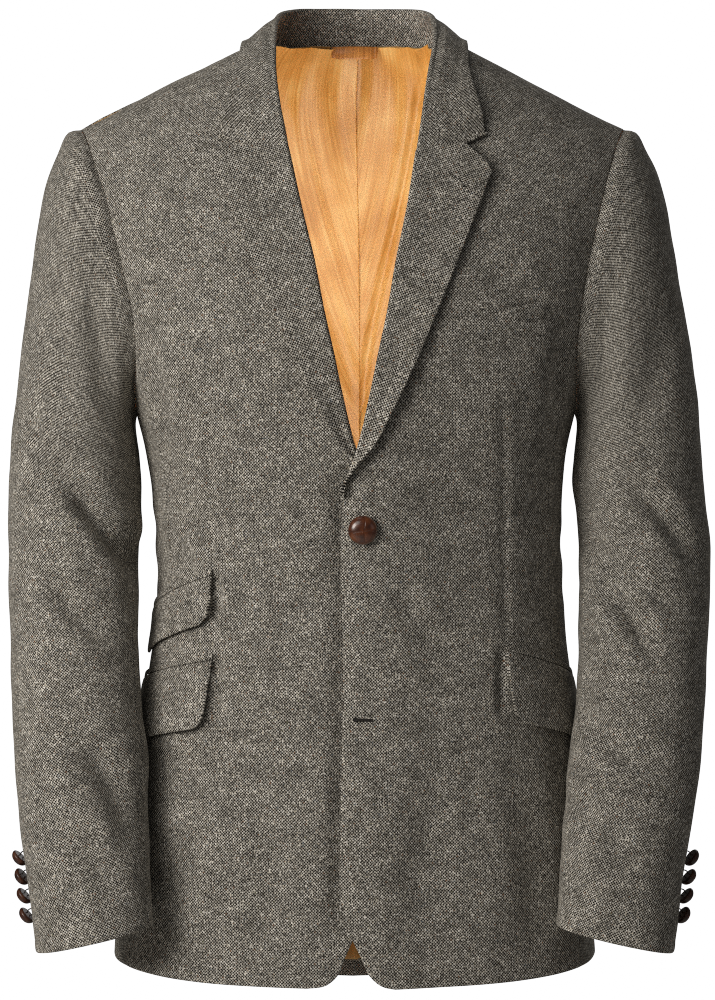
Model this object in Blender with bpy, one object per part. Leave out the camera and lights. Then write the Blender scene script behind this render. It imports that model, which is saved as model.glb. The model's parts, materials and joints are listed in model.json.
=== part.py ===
"""A tweed hacking jacket, filled out as on a wearer, fastened at its upper button.

Metres, +Z up. The front faces -Y and the wearer's left side is at +X. The origin is where the wearer's
shoulders carry the jacket, on the centre line. Every cloth piece is a thin wall: its outer face is a grid
of points on the body form or on the sleeve, and its inner face lies the cloth's thickness below that.
"""

from math import pi, radians

import bpy
import numpy as np
from mathutils import Matrix, Vector

# Thicknesses and gaps
TWEED = 0.002
DOUBLED_TWEED = 0.003
SATIN = 0.001
GAP = 0.0003
LINING_CLEARANCE = 0.0065
LINING_DROP = 0.60
PLEAT_GAP = 0.004
LEAF_CLEARANCE = 0.0006

# The body form: horizontal sections up to the chest line, then arches over to the shoulder ridge
CHEST_Z = -0.25
SQUARENESS = 0.03
RIDGE_Z = 0.0804
SHOULDER_SLOPE = 0.507
NECK_X = 0.0875
NECK_LIFT = 0.02
ARCH_RADIUS = 0.26
RIDGE = ARCH_RADIUS * pi / 2
CENTRE_BACK = pi
CENTRE_GAP = 0.0016

# How the cloth is divided into facets
LOW_STEPS = (0, 0.018, 0.045, 0.085, 0.14, 0.25, 0.38, 0.52, 0.66, 0.79, 0.89, 0.95, 1)
FORE_STEPS = (0, 0.06, 0.14, 0.24, 0.36, 0.48, 0.60, 0.73, 0.87, 1)
HIGH_CELLS = 8
SIDE_CELLS = 4
BACK_CELLS = 8
NECK_CELLS = 3

# Places on the armhole as turns from the shoulder point, forwards and down
FRONT_SEAM_TURN = 0.36
BACK_SEAM_TURN = 0.63
FRONT_SEAM_HEM = 1.12
BACK_SEAM_HEM = 2.05


def table(names, *rows):
    return dict(zip(names.split(), np.array(rows, float).T))


BODY = table(
    "z half_width front back",
    (-0.760, 0.1985, 0.128, 0.131),
    (-0.700, 0.1965, 0.127, 0.128),
    (-0.600, 0.1895, 0.122, 0.122),
    (-0.520, 0.1800, 0.118, 0.112),
    (-0.440, 0.1680, 0.116, 0.101),
    (-0.380, 0.1655, 0.116, 0.097),
    (-0.300, 0.1715, 0.127, 0.108),
    (-0.250, 0.1830, 0.133, 0.117),
    (-0.150, 0.2120, 0.134, 0.124),
    (-0.050, 0.2440, 0.134, 0.123),
    (0.080, 0.2700, 0.134, 0.120),
)
HEM = table(
    "round z",
    (0.0, -0.7195),
    (0.6, -0.7165),
    (1.2, -0.7100),
    (1.6, -0.7070),
    (2.1, -0.7230),
    (2.6, -0.7380),
    (3.2, -0.7440),
)
ARMHOLE = table(  # from the shoulder point down the front, under the arm and up the back
    "round z",
    (1.000, -0.060),
    (0.985, -0.090),
    (0.998, -0.118),
    (1.019, -0.152),
    (1.040, -0.178),
    (1.100, -0.207),
    (1.260, -0.240),
    (1.571, -0.262),
    (1.870, -0.247),
    (2.000, -0.210),
    (2.045, -0.170),
    (2.070, -0.120),
    (2.075, -0.085),
    (2.070, -0.055),
)
SHOULDER_POINT = 1.060
BACK_SHOULDER_POINT = pi - SHOULDER_POINT
LEFT_FRONT_EDGE = (  # across and up, from the hem corner to the top of the roll on the wearer's left
    (0.0315, -0.7195),
    (0.0217, -0.7172),
    (0.0115, -0.7085),
    (0.0045, -0.6936),
    (-0.0014, -0.6819),
    (-0.0080, -0.6650),
    (-0.0115, -0.6450),
    (-0.0122, -0.6000),
    (-0.0122, -0.4700),
    (-0.0122, -0.3450),
    (-0.0085, -0.3225),
    (0.0004, -0.2990),
    (0.0108, -0.2513),
)
RIGHT_FRONT_EDGE = (  # the same on the wearer's right, across counted towards its own side
    (0.0370, -0.7195),
    (0.0225, -0.7172),
    (0.0145, -0.7109),
    (0.0074, -0.6952),
    (0.0014, -0.6819),
    (-0.0060, -0.6550),
    (-0.0120, -0.6200),
    (-0.0180, -0.5500),
    (-0.0230, -0.4500),
    (-0.0240, -0.3600),
    (-0.0140, -0.3250),
    (0.0004, -0.2990),
    (0.0108, -0.2513),
)
ROLL_LINE = (
    (0.0108, -0.2513),
    (0.0168, -0.2223),
    (0.0242, -0.1886),
    (0.0315, -0.1485),
    (0.0412, -0.1045),
    (0.0514, -0.0550),
)
NECKLINE = (  # forepart, from the top of the roll to the shoulder seam
    (0.0514, -0.0550),
    (0.0620, -0.0300),
    (0.0750, 0.0000),
    (0.0875, 0.0330),
)
BACK_NECKLINE = ((0.0, 0.046), (0.035, 0.0445), (0.065, 0.0400), (0.0875, 0.0335))
LAPEL_EDGE = (  # from the break to the peak of the lapel
    (-0.0035, -0.3135),
    (0.0139, -0.2913),
    (0.0304, -0.2606),
    (0.0461, -0.2285),
    (0.0627, -0.1904),
    (0.0787, -0.1520),
    (0.0951, -0.1118),
    (0.1014, -0.0965),
    (0.1090, -0.0768),
)
LAPEL_ROLL = ((-0.0085, -0.3225), (0.0004, -0.2990), *ROLL_LINE[:-1], (0.0500, -0.0600))
LAPEL_TOP = ((0.0500, -0.0600), (0.0885, -0.0545), (0.1055, -0.0690), (0.1090, -0.0768))
LAPEL_CELLS = 13
LAPEL_STEPS = (0, 0.30, 0.62, 0.90, 1)

# The collar from its front end round to centre back: the fold, and the edge of the fall
FOLD = (
    (0.0520, -0.0965, -0.0570),
    (0.0585, -0.0800, -0.0200),
    (0.0640, -0.0540, 0.0170),
    (0.0665, -0.0300, 0.0390),
    (0.0670, 0.0000, 0.0575),
    (0.0635, 0.0300, 0.0680),
    (0.0505, 0.0560, 0.0740),
    (0.0280, 0.0730, 0.0765),
    (0.0000, 0.0790, 0.0770),
)
FALL_EDGE = (
    (0.1064, -0.0800, -0.0436),
    (0.1038, -0.0735, -0.0269),
    (0.0988, -0.0615, -0.0067),
    (0.0940, -0.0440, 0.0130),
    (0.0915, -0.0100, 0.0375),
    (0.0900, 0.0280, 0.0400),
    (0.0760, 0.0600, 0.0330),
    (0.0430, 0.0840, 0.0290),
    (0.0000, 0.0925, 0.0280),
)
NECK_SEAM = (
    (0.0600, -0.0740, -0.0250),
    (0.0660, -0.0560, 0.0020),
    (0.0740, -0.0330, 0.0220),
    (0.0775, -0.0050, 0.0405),
    (0.0730, 0.0220, 0.0450),
    (0.0550, 0.0480, 0.0470),
    (0.0300, 0.0640, 0.0480),
    (0.0000, 0.0700, 0.0485),
)
COLLAR_NOTCH = (0.0885, -0.0515)
COLLAR_CELLS = 11
FALL_STEPS = (0, 0.12, 0.45, 0.78, 1)
FALL_BULGE = 0.004
FALL_SLOPE = 0.4
NECK_MIDDLE_Y = 0.02
STAND_CELLS = 9
STAND_START = 0.17  # where the stand begins, as a fraction of the fold
STAND_INSET = 0.0052

# The sleeve, one row for each ring: its outer and inner ends, how far back its middle is, its half depth
SLEEVE = table(
    "outer_x outer_z inner_x inner_z middle_y depth",
    (0.2240, -0.0355, 0.1800, -0.2620, 0.000, 0.0730),
    (0.2345, -0.0382, 0.1815, -0.2670, -0.001, 0.0740),
    (0.2415, -0.0520, 0.1822, -0.2720, -0.002, 0.0740),
    (0.2510, -0.0770, 0.1818, -0.2790, -0.003, 0.0735),
    (0.2600, -0.1250, 0.1802, -0.2890, -0.004, 0.0720),
    (0.2690, -0.1800, 0.1780, -0.3020, -0.006, 0.0700),
    (0.2770, -0.2450, 0.1765, -0.3220, -0.009, 0.0670),
    (0.2815, -0.3000, 0.1785, -0.3470, -0.014, 0.0640),
    (0.2840, -0.3500, 0.1795, -0.3760, -0.021, 0.0610),
    (0.2835, -0.4100, 0.1785, -0.4200, -0.033, 0.0580),
    (0.2805, -0.4700, 0.1760, -0.4700, -0.052, 0.0550),
    (0.2745, -0.5300, 0.1710, -0.5250, -0.073, 0.0520),
    (0.2665, -0.5900, 0.1655, -0.5800, -0.092, 0.0480),
    (0.2580, -0.6430, 0.1615, -0.6280, -0.106, 0.0440),
    (0.2500, -0.6915, 0.1595, -0.6710, -0.116, 0.0410),
)
SLEEVE_RINGS = len(SLEEVE["depth"]) - 1
CAP_RINGS = 8
SLEEVE_SQUARENESS = 0.015
ARMHOLE_GAP = 0.0020
SLEEVE_SEAM_TURN = 0.0007
FOREARM_SEAM = 0.43  # turns at the armhole where the top sleeve ends in front
HINDARM_SEAM = 0.815
FOREARM_SEAM_SHIFT = 0.01
HINDARM_SEAM_CUFF = -0.085  # turns at the cuff, next to the cuff buttons

# The left front laps over the right by these distances at each height
LAP = table(
    "z out",
    (-0.76, 0.0062),
    (-0.50, 0.0066),
    (-0.36, 0.0056),
    (-0.30, 0.0068),
    (-0.26, 0.0028),
    (-0.22, 0.0),
)
LAP_FULL_X = 0.018
LAP_END_X = 0.080

# How far the whole garment leans to its right or left at each height
LEAN = table(
    "z across",
    (-0.75, -0.0026),
    (-0.65, -0.0020),
    (-0.50, 0.0008),
    (-0.40, 0.0015),
    (-0.30, -0.0008),
    (-0.20, -0.0012),
    (-0.10, -0.0026),
    (-0.05, -0.0040),
    (0.00, -0.0044),
    (0.04, -0.0024),
    (0.08, -0.0018),
)

# Pockets: the front top corner, slope down to the back, length along the cloth, drop
HIP_LEFT = dict(x=0.116, z=-0.4555, slope=0.235, length=0.150, drop=0.056)
HIP_RIGHT = dict(x=0.116, z=-0.4630, slope=0.175, length=0.150, drop=0.054)
TICKET = dict(x=0.1165, z=-0.3955, slope=0.30, length=0.098, drop=0.038)
FLAP_CORNER = 0.009
FLAP_ROWS = (0, 0.4, 0.8, 1)
FLAP_COLUMNS = (0, 0.03, 0.09, 0.2, 0.3, 0.4, 0.5, 0.6, 0.7, 0.8, 0.91, 0.97, 1)
FLAP_CLEARANCE = 0.0016
JET_HEIGHT = 0.005
JET_GAP = 0.0008
WELT = ((0.0700, -0.1990), (0.1490, -0.1790))
WELT_HEIGHT = 0.020
WELT_CELLS = 8

# Buttons and buttonholes
FRONT_BUTTON = (0.0034, -0.3584)
LOWER_BUTTON = (0.0040, -0.5087)
FRONT_BUTTON_RADIUS = 0.0115
LOWER_BUTTON_RADIUS = 0.0100
FRONT_BUTTON_HEIGHT = 0.0085
FRONT_SHANK = 0.0012
LOWER_BUTTON_HEIGHT = 0.0030
CUFF_BUTTON_RADIUS = 0.0074
CUFF_BUTTON_CAP = 0.0065
CUFF_BUTTONS = 4
CUFF_BUTTON_PITCH = 0.0150
CUFF_BUTTON_Z = -0.6155
CUFF_BUTTON_TURN = -0.045
CUFF_SHANK = 0.0050
CUFF_BUTTON_DROOP = 0.60
BUTTON_SIDES = 12
FRONT_BUTTON_CLEARANCE = 0.0015
CUFF_BUTTON_CLEARANCE = 0.0018

HANGER_HALF_LENGTH = 0.019
HANGER_TOP = 0.0432
HANGER_DROP = 0.011
HANGER_Y = 0.0610
HANGER_BOW = 0.0025
HANGER_CELLS = 6


# ---- curves -------------------------------------------------------------------------------------


def smooth(x, xs, ys):
    """A smooth curve through the rows of a table."""
    x = np.clip(x, xs[0], xs[-1])
    slope = np.gradient(ys, xs)
    k = np.clip(np.searchsorted(xs, x) - 1, 0, len(xs) - 2)
    step = xs[k + 1] - xs[k]
    t = (x - xs[k]) / step
    start = (1 + 2 * t) * (1 - t) ** 2 * ys[k] + t * (1 - t) ** 2 * step * slope[k]
    return start + t * t * (3 - 2 * t) * ys[k + 1] - t * t * (1 - t) * step * slope[k + 1]


def lengths(points):
    """The distance of each point along a line of points."""
    return np.concatenate([[0], np.cumsum(np.linalg.norm(np.diff(points, axis=0), axis=1))])


def along(rows, fractions):
    """Points at these fractions of the length of the smooth curve through rows."""
    rows = np.array(rows, float)
    knots = lengths(rows)
    at = np.asarray(fractions, float) * knots[-1]
    return np.stack([smooth(at, knots, column) for column in rows.T], -1)


def bent(rows, fractions):
    """Points at these fractions of the length of the straight lines through rows."""
    rows = np.array(rows, float)
    knots = lengths(rows)
    at = np.asarray(fractions, float) * knots[-1]
    return np.stack([np.interp(at, knots, column) for column in rows.T], -1)


def spaced(low, high, cells):
    """The ends and the divisions of a range cut into equal cells."""
    return np.linspace(low, high, cells + 1)


def unit(vectors):
    return vectors / np.linalg.norm(vectors, axis=-1, keepdims=True)


def blend(start, end, steps):
    """Points at these fractions of the way from start to end."""
    steps = np.asarray(steps, float)[:, None]
    return start * (1 - steps) + end * steps


def patch(bottom, top, left, right, across, up):
    """A grid of rows filled in between four edges, at the given fractions across and up."""
    s = np.asarray(across, float)[None, :, None]
    t = np.asarray(up, float)[:, None, None]
    rows = bottom[None] * (1 - t) + top[None] * t
    columns = left[:, None] * (1 - s) + right[:, None] * s
    lower = bottom[0] * (1 - s) + bottom[-1] * s
    upper = top[0] * (1 - s) + top[-1] * s
    return rows + columns - lower * (1 - t) - upper * t


def ease(x, start, end):
    """0 before start and 1 after end, with a soft turn at both."""
    t = np.clip((x - start) / (end - start), 0, 1)
    return t * t * (3 - 2 * t)


# ---- the body form ------------------------------------------------------------------------------


def rounded(angle, squareness):
    """A quarter of a squared ellipse: how far across and how deep at this angle."""
    across = np.sin(angle) + squareness * np.sin(3 * angle)
    deep = np.cos(angle) - squareness * np.cos(3 * angle)
    return across / (1 - squareness), deep / (1 - squareness)


def ridge_z(x):
    """Height of the shoulder ridge at this distance from the centre."""
    across = np.sqrt(x * x + 0.015**2)
    near_neck = np.clip(1 - across / NECK_X, 0, None)
    return RIDGE_Z - SHOULDER_SLOPE * across + NECK_LIFT * near_neck**2


def arch_squareness(x, back):
    """The arches are slack in front of the neck and fuller over the back."""
    outwards = np.clip((np.abs(x) - 0.06) / 0.16, 0, 1)
    return np.where(back, 0.04 - 0.02 * outwards, -0.03 + 0.04 * outwards)


def form(place):
    """Point of the body form. place holds the turn round it from centre front, and the rise above the
    chest line, which past that line runs over the shoulder as far as RIDGE."""
    turn, rise = place[..., 0], place[..., 1]
    across, deep = rounded(turn, SQUARENESS)
    back = deep < 0
    over = np.clip(rise, 0, None) / ARCH_RADIUS
    z = CHEST_Z + rise
    for _ in range(12):
        x = smooth(z, BODY["z"], BODY["half_width"]) * across
        up, arch = rounded(over, arch_squareness(x, back))
        z = np.where(rise < 0, CHEST_Z + rise, CHEST_Z + up * (ridge_z(x) - CHEST_Z))
    depth = np.where(back, smooth(z, BODY["z"], BODY["back"]), smooth(z, BODY["z"], BODY["front"]))
    return np.stack([x, -depth * deep * np.where(rise < 0, 1, arch), z], -1)


def place_at(x, z, back=False):
    """The place on the form that has this x and z, on its front or its back."""
    x, z = np.broadcast_arrays(np.asarray(x, float), np.asarray(z, float))
    angles = np.linspace(0, pi / 2, 361)
    across = np.abs(x) / smooth(z, BODY["z"], BODY["half_width"])
    turn = np.sign(x) * np.interp(across, rounded(angles, SQUARENESS)[0], angles)
    up = np.clip((z - CHEST_Z) / (ridge_z(x) - CHEST_Z), 0, 1)
    low, high = np.zeros(x.shape), np.full(x.shape, pi / 2)
    for _ in range(40):
        middle = (low + high) / 2
        short = rounded(middle, arch_squareness(x, np.full(x.shape, back)))[0] < up
        low, high = np.where(short, middle, low), np.where(short, high, middle)
    rise = np.where(z < CHEST_Z, z - CHEST_Z, low * ARCH_RADIUS)
    return np.stack([pi - turn if back else turn, rise], -1)


def outward(place):
    """The form's outward normal."""
    nudge = 1e-4
    round_it = form(place + (nudge, 0)) - form(place - (nudge, 0))
    up_it = form(place + (0, nudge)) - form(place - (0, nudge))
    return unit(np.cross(round_it, up_it))


def raised(place, height):
    """Points at this height off the form."""
    return form(place) + outward(place) * np.asarray(height)[..., None]


def lap(points):
    """How far the wearer's left front stands off the form, to pass over the right one."""
    reach = 1 - ease(points[..., 0], LAP_FULL_X, LAP_END_X)
    return smooth(points[..., 2], LAP["z"], LAP["out"]) * reach


def on_front(place, height=0.0, lapped=False):
    """Points off a forepart, which itself stands off the form where it laps over the other."""
    out = lap(form(place)) if lapped else 0.0
    return raised(place, height + out)


def off_form(points, height):
    """The points, with any that are nearer to the form than height moved out along Y."""
    x, y, z = points[..., 0], points[..., 1], points[..., 2]
    below_ridge = z < ridge_z(x) - 0.001
    safe_z = np.minimum(z, ridge_z(x) - 0.001)
    front = raised(place_at(x, safe_z), height)[..., 1]
    back = raised(place_at(x, safe_z, back=True), height)[..., 1]
    pushed = np.where(y < 0, np.minimum(y, front), np.maximum(y, back))
    return np.stack([x, np.where(below_ridge, pushed, y), z], -1)


# ---- armhole and seams --------------------------------------------------------------------------


def armhole_curve():
    """Places at even distances round the armhole."""
    front = place_of_section(ARMHOLE["round"], ARMHOLE["z"])
    rows = np.concatenate([[(SHOULDER_POINT, RIDGE)], front, [(BACK_SHOULDER_POINT, RIDGE)]])
    fine = along(rows, spaced(0, 1, 400))
    length = lengths(form(fine))
    return length / length[-1], fine


def place_of_section(turn, z):
    """Place from a turn round the form and a height."""
    across = smooth(z, BODY["z"], BODY["half_width"]) * rounded(turn, SQUARENESS)[0]
    at = place_at(across, z)
    at_back = place_at(across, z, back=True)
    rise = np.where(turn > pi / 2, at_back[..., 1], at[..., 1])
    return np.stack([turn, rise], -1)


ARMHOLE_LENGTH, ARMHOLE_PLACES = armhole_curve()


def armhole(turns):
    """Places on the armhole at these turns, from 0 at the shoulder point to 1."""
    return np.stack([np.interp(turns, ARMHOLE_LENGTH, column) for column in ARMHOLE_PLACES.T], -1)


def hem_place(turn):
    """Places on the hem at these turns round the form."""
    return np.stack([turn, smooth(turn, HEM["round"], HEM["z"]) - CHEST_Z], -1)


FRONT_TURNS = spaced(0, FRONT_SEAM_TURN, HIGH_CELLS)[::-1]
SIDE_TURNS = spaced(FRONT_SEAM_TURN, BACK_SEAM_TURN, SIDE_CELLS)
BACK_TURNS = spaced(BACK_SEAM_TURN, 1, HIGH_CELLS)
ROUND_TURNS = np.concatenate([FRONT_TURNS[::-1], SIDE_TURNS[1:], BACK_TURNS[1:]])
HALF_GAP = (GAP / 2 / BODY["half_width"].min(), 0)


def side_seam(hem_turn, armhole_turn):
    """Places up a seam from the hem to the armhole."""
    start = hem_place(np.array(hem_turn))
    return blend(start, armhole(armhole_turn), LOW_STEPS)


def forepart(edge_rows):
    """Places of a forepart: rows from the hem up, columns from the front edge to the side seam."""
    steps = np.array(FORE_STEPS)
    edge = along(edge_rows, LOW_STEPS)
    edge = place_at(edge[:, 0], edge[:, 1])
    seam = side_seam(FRONT_SEAM_HEM, FRONT_SEAM_TURN) - HALF_GAP
    hem = hem_place(edge[0, 0] + (seam[0, 0] - edge[0, 0]) * steps)
    chest = blend(edge[-1], seam[-1], steps)
    low = patch(hem, chest, edge, seam, steps, LOW_STEPS)
    up = spaced(0, 1, HIGH_CELLS)
    inner = along(ROLL_LINE + NECKLINE[1:], up)
    inner = place_at(inner[:, 0], inner[:, 1])
    inner[-1, 1] = RIDGE
    outer = armhole(FRONT_TURNS) - HALF_GAP
    shoulder = blend(inner[-1], outer[-1], steps)
    high = patch(chest, shoulder, inner, outer, steps, up)
    grid = np.concatenate([low, high[1:]])
    grid[-1, :, 1] -= GAP
    return grid


def side_panel():
    """Places of a panel under the arm."""
    steps = spaced(0, 1, SIDE_CELLS)
    front = side_seam(FRONT_SEAM_HEM, FRONT_SEAM_TURN) + HALF_GAP
    back = side_seam(BACK_SEAM_HEM, BACK_SEAM_TURN) - HALF_GAP
    hem = hem_place(blend(front[0], back[0], steps)[:, 0])
    return patch(hem, armhole(SIDE_TURNS), front, back, steps, LOW_STEPS)


def back_grid():
    """Places of a back half: rows from the hem up, columns from the side seam to centre back."""
    steps = spaced(0, 1, BACK_CELLS)
    up = spaced(0, 1, HIGH_CELLS)
    seam = side_seam(BACK_SEAM_HEM, BACK_SEAM_TURN) + HALF_GAP
    neck = bent(BACK_NECKLINE, spaced(1, 0, NECK_CELLS))
    neck = place_at(neck[:, 0], neck[:, 1], back=True)
    neck[0, 1] = RIDGE
    centre_turn = CENTRE_BACK - CENTRE_GAP
    neck[-1, 0] = centre_turn
    centre_chest = np.array((centre_turn, 0.0))
    centre = blend(hem_place(np.array(centre_turn)), centre_chest, LOW_STEPS)
    hem = hem_place(seam[0, 0] + (centre[0, 0] - seam[0, 0]) * steps)
    chest = blend(seam[-1], centre_chest, steps)
    low = patch(hem, chest, seam, centre, steps, LOW_STEPS)
    outer = armhole(BACK_TURNS) + HALF_GAP
    inner = blend(centre_chest, neck[-1], up)
    shoulder = blend(outer[-1], neck[0], spaced(0, 1, BACK_CELLS - NECK_CELLS))
    top = np.concatenate([shoulder, neck[1:]])
    high = patch(chest, top, outer, inner, steps, up)
    grid = np.concatenate([low, high[1:]])
    grid[-1, :, 1] -= GAP
    return grid


# ---- lapel and collar ---------------------------------------------------------------------------


def lapel():
    """Places of a lapel: rows from the break up, columns from the roll to the edge."""
    up = spaced(0, 1, LAPEL_CELLS)
    roll, edge = along(LAPEL_ROLL, up), along(LAPEL_EDGE, up)
    bottom = blend(roll[0], edge[0], LAPEL_STEPS)
    grid = patch(bottom, bent(LAPEL_TOP, LAPEL_STEPS), roll, edge, LAPEL_STEPS, up)
    return place_at(grid[..., 0], grid[..., 1])


def away_from_neck(points, slope):
    """Directions from the middle of the neck, rising by slope."""
    away = points - (0, NECK_MIDDLE_Y, 0)
    away[..., 2] = np.linalg.norm(away[..., :2], axis=-1) * slope
    return unit(away)


def collar_fall():
    """Outer face of the fall of the collar from one front end to centre back."""
    stations, steps = spaced(0, 1, COLLAR_CELLS), np.array(FALL_STEPS)
    fold, edge = along(FOLD, stations), along(FALL_EDGE, stations)
    front = bent((FOLD[0][::2], COLLAR_NOTCH, FALL_EDGE[0][::2]), steps)
    front = raised(place_at(front[:, 0], front[:, 1]), DOUBLED_TWEED + LEAF_CLEARANCE)
    fold[0], edge[0] = front[0], front[-1]
    grid = patch(front, blend(fold[-1], edge[-1], steps), fold, edge, steps, stations)
    swell = FALL_BULGE * 4 * steps * (1 - steps) * ease(stations, 0.05, 0.5)[:, None]
    grid = grid + away_from_neck(grid, FALL_SLOPE) * swell[..., None]
    return off_form(grid, DOUBLED_TWEED + LEAF_CLEARANCE)


def collar_stand_half():
    """Outer face of the stand, from its front end to centre back, rows upwards."""
    stations = spaced(0, 1, STAND_CELLS)
    seam = along(NECK_SEAM, stations)
    top = along(FOLD, STAND_START + (1 - STAND_START) * stations)
    top = top - away_from_neck(top, 0.0) * STAND_INSET
    return np.stack([blend(low, high, (0, 0.5, 1)) for low, high in zip(seam, top)], 1)


# ---- sleeve -------------------------------------------------------------------------------------


def sleeve(turns, ring):
    """Points of the sleeve at these turns from its outer side forwards, and this ring down the arm."""
    turns, ring = np.broadcast_arrays(np.asarray(turns, float), np.asarray(ring, float))
    rows = np.arange(SLEEVE_RINGS + 1.0)
    at = {name: smooth(ring, rows, values) for name, values in SLEEVE.items()}
    angle = 2 * pi * turns
    across = np.cos(angle) - SLEEVE_SQUARENESS * np.cos(3 * angle)
    forward = np.sin(angle) + SLEEVE_SQUARENESS * np.sin(3 * angle)
    outwards = (1 + across / (1 - SLEEVE_SQUARENESS)) / 2
    x = at["inner_x"] + (at["outer_x"] - at["inner_x"]) * outwards
    z = at["inner_z"] + (at["outer_z"] - at["inner_z"]) * outwards
    return np.stack([x, at["middle_y"] - at["depth"] * forward, z], -1)


def sleeve_point(turns, ring):
    """Sleeve points that start from the armhole's own shape and take the sleeve's below the cap."""
    turns, ring = np.broadcast_arrays(np.asarray(turns, float), np.asarray(ring, float))
    own = raised(armhole(turns % 1), ARMHOLE_GAP) - sleeve(turns, np.zeros_like(ring))
    keep = np.clip(1 - ring / CAP_RINGS, 0, 1) ** 2
    return sleeve(turns, ring) + own * keep[..., None]


def sleeve_wall(columns_at_armhole, columns_at_cuff):
    """Outer and inner faces: rows down the sleeve, columns from the first turn to the last."""
    rings = np.arange(SLEEVE_RINGS + 1.0)
    down = (rings / SLEEVE_RINGS)[:, None]
    turns = columns_at_armhole[None] * (1 - down) + columns_at_cuff[None] * down
    outer = sleeve_point(turns, rings[:, None])
    inner = outer - sleeve_normal(turns, rings[:, None]) * TWEED
    return outer, inner


def sleeve_normal(turns, ring):
    """The sleeve's outward normal."""
    nudge = 1e-3
    low = np.clip(ring, nudge, SLEEVE_RINGS - nudge)
    along_arm = sleeve_point(turns, low + nudge) - sleeve_point(turns, low - nudge)
    round_arm = sleeve_point(turns + nudge, ring) - sleeve_point(turns - nudge, ring)
    return unit(np.cross(round_arm, along_arm))


def sleeve_turns():
    """Turns of the top and the under sleeve's columns, at the armhole and at the cuff."""
    front, back = (int(np.argmin(np.abs(ROUND_TURNS - seam))) for seam in (FOREARM_SEAM, HINDARM_SEAM))
    top = np.concatenate([ROUND_TURNS[back:-1] - 1, ROUND_TURNS[: front + 1]])
    under = ROUND_TURNS[front : back + 1]
    front_cuff = top[-1] + FOREARM_SEAM_SHIFT
    top_cuff = np.interp(top, (top[0], top[-1]), (HINDARM_SEAM_CUFF, front_cuff))
    under_cuff = np.interp(under, (under[0], under[-1]), (front_cuff, 1 + HINDARM_SEAM_CUFF))
    return (top, top_cuff), (under, under_cuff)


def narrowed(turns):
    """The columns with the first and the last moved in, so that seams keep their gap."""
    turns = turns.copy()
    turns[0] += SLEEVE_SEAM_TURN
    turns[-1] -= SLEEVE_SEAM_TURN
    return turns


# ---- pockets ------------------------------------------------------------------------------------


def distance_round(z):
    """Turns round the form and the distance along the cloth from centre front at this height."""
    turns = spaced(0, pi, 400)
    return turns, lengths(form(np.stack([turns, np.full_like(turns, z - CHEST_Z)], -1)))


def band(pocket, top, bottom, rows, corner):
    """Places of a strip that follows a pocket's mouth, between two distances below it, with its lower
    corners rounded."""
    turns, length = distance_round(pocket["z"])
    start = np.interp(place_at(pocket["x"], pocket["z"])[0], turns, length)
    u = np.array(FLAP_COLUMNS) * pocket["length"]
    inside_corner = np.clip(corner - np.minimum(u, pocket["length"] - u), 0, None)
    lost = corner - np.sqrt(corner**2 - inside_corner**2)
    v = np.array(rows)[:, None]
    down = top + (bottom - top) * v - lost[None, :] * ease(v, 0.3, 1)
    z = pocket["z"] - pocket["slope"] * u[None, :] - down
    return np.stack([np.broadcast_to(np.interp(start + u, length, turns), z.shape), z - CHEST_Z], -1)


# ---- meshes -------------------------------------------------------------------------------------


def material(name, hex_colour, roughness, metallic=0.0):
    made = bpy.data.materials.new(name)
    made.use_nodes = True
    shader = made.node_tree.nodes["Principled BSDF"]
    srgb = [int(hex_colour[k : k + 2], 16) / 255 for k in (0, 2, 4)]
    linear = [c / 12.92 if c <= 0.04045 else ((c + 0.055) / 1.055) ** 2.4 for c in srgb]
    shader.inputs["Base Color"].default_value = (*linear, 1)
    shader.inputs["Roughness"].default_value = roughness
    shader.inputs["Metallic"].default_value = metallic
    made.diffuse_color = (*linear, 1)
    return made


def leaned(points):
    """The points moved sideways with the garment's lean."""
    across = smooth(points[..., 2], LEAN["z"], LEAN["across"])
    return points + np.stack([across, 0 * across, 0 * across], -1)


def mirrored(grid):
    """The same face on the wearer's right, still facing out."""
    return grid[:, ::-1] * (-1, 1, 1)


def wall(name, outer, inner, finish):
    """A closed wall of cloth between two like grids, whose columns run to the right seen from outside when
    their rows run up."""
    rows, columns = outer.shape[:2]
    index = np.arange(rows * columns).reshape(rows, columns)
    corners = (index[:-1, :-1], index[:-1, 1:], index[1:, 1:], index[1:, :-1])
    face = np.stack([corner.ravel() for corner in corners], -1)
    under = face[:, ::-1] + rows * columns
    rim = np.concatenate([index[0], index[1:, -1], index[-1, -2::-1], index[-2:0:-1, 0]])
    after = np.roll(rim, -1)
    sides = np.stack([after, rim, rim + rows * columns, after + rows * columns], -1)
    points = leaned(np.concatenate([outer.reshape(-1, 3), inner.reshape(-1, 3)]))
    mesh = bpy.data.meshes.new(name)
    mesh.from_pydata(points.tolist(), [], np.concatenate([face, under, sides]).tolist())
    mesh.shade_smooth()
    mesh.set_sharp_from_angle(angle=radians(60))
    mesh.materials.append(finish)
    piece = bpy.data.objects.new(name, mesh)
    bpy.context.scene.collection.objects.link(piece)
    return piece


def pair(name, outer, inner, finish):
    """The same wall on the wearer's left and, mirrored, on the right."""
    wall(name + "_left", outer, inner, finish)
    wall(name + "_right", mirrored(outer), mirrored(inner), finish)


def below(grid, thickness):
    """The grid moved inwards by a thickness along its own normals."""
    return grid - unit(np.cross(np.gradient(grid, axis=1), np.gradient(grid, axis=0))) * thickness


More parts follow.
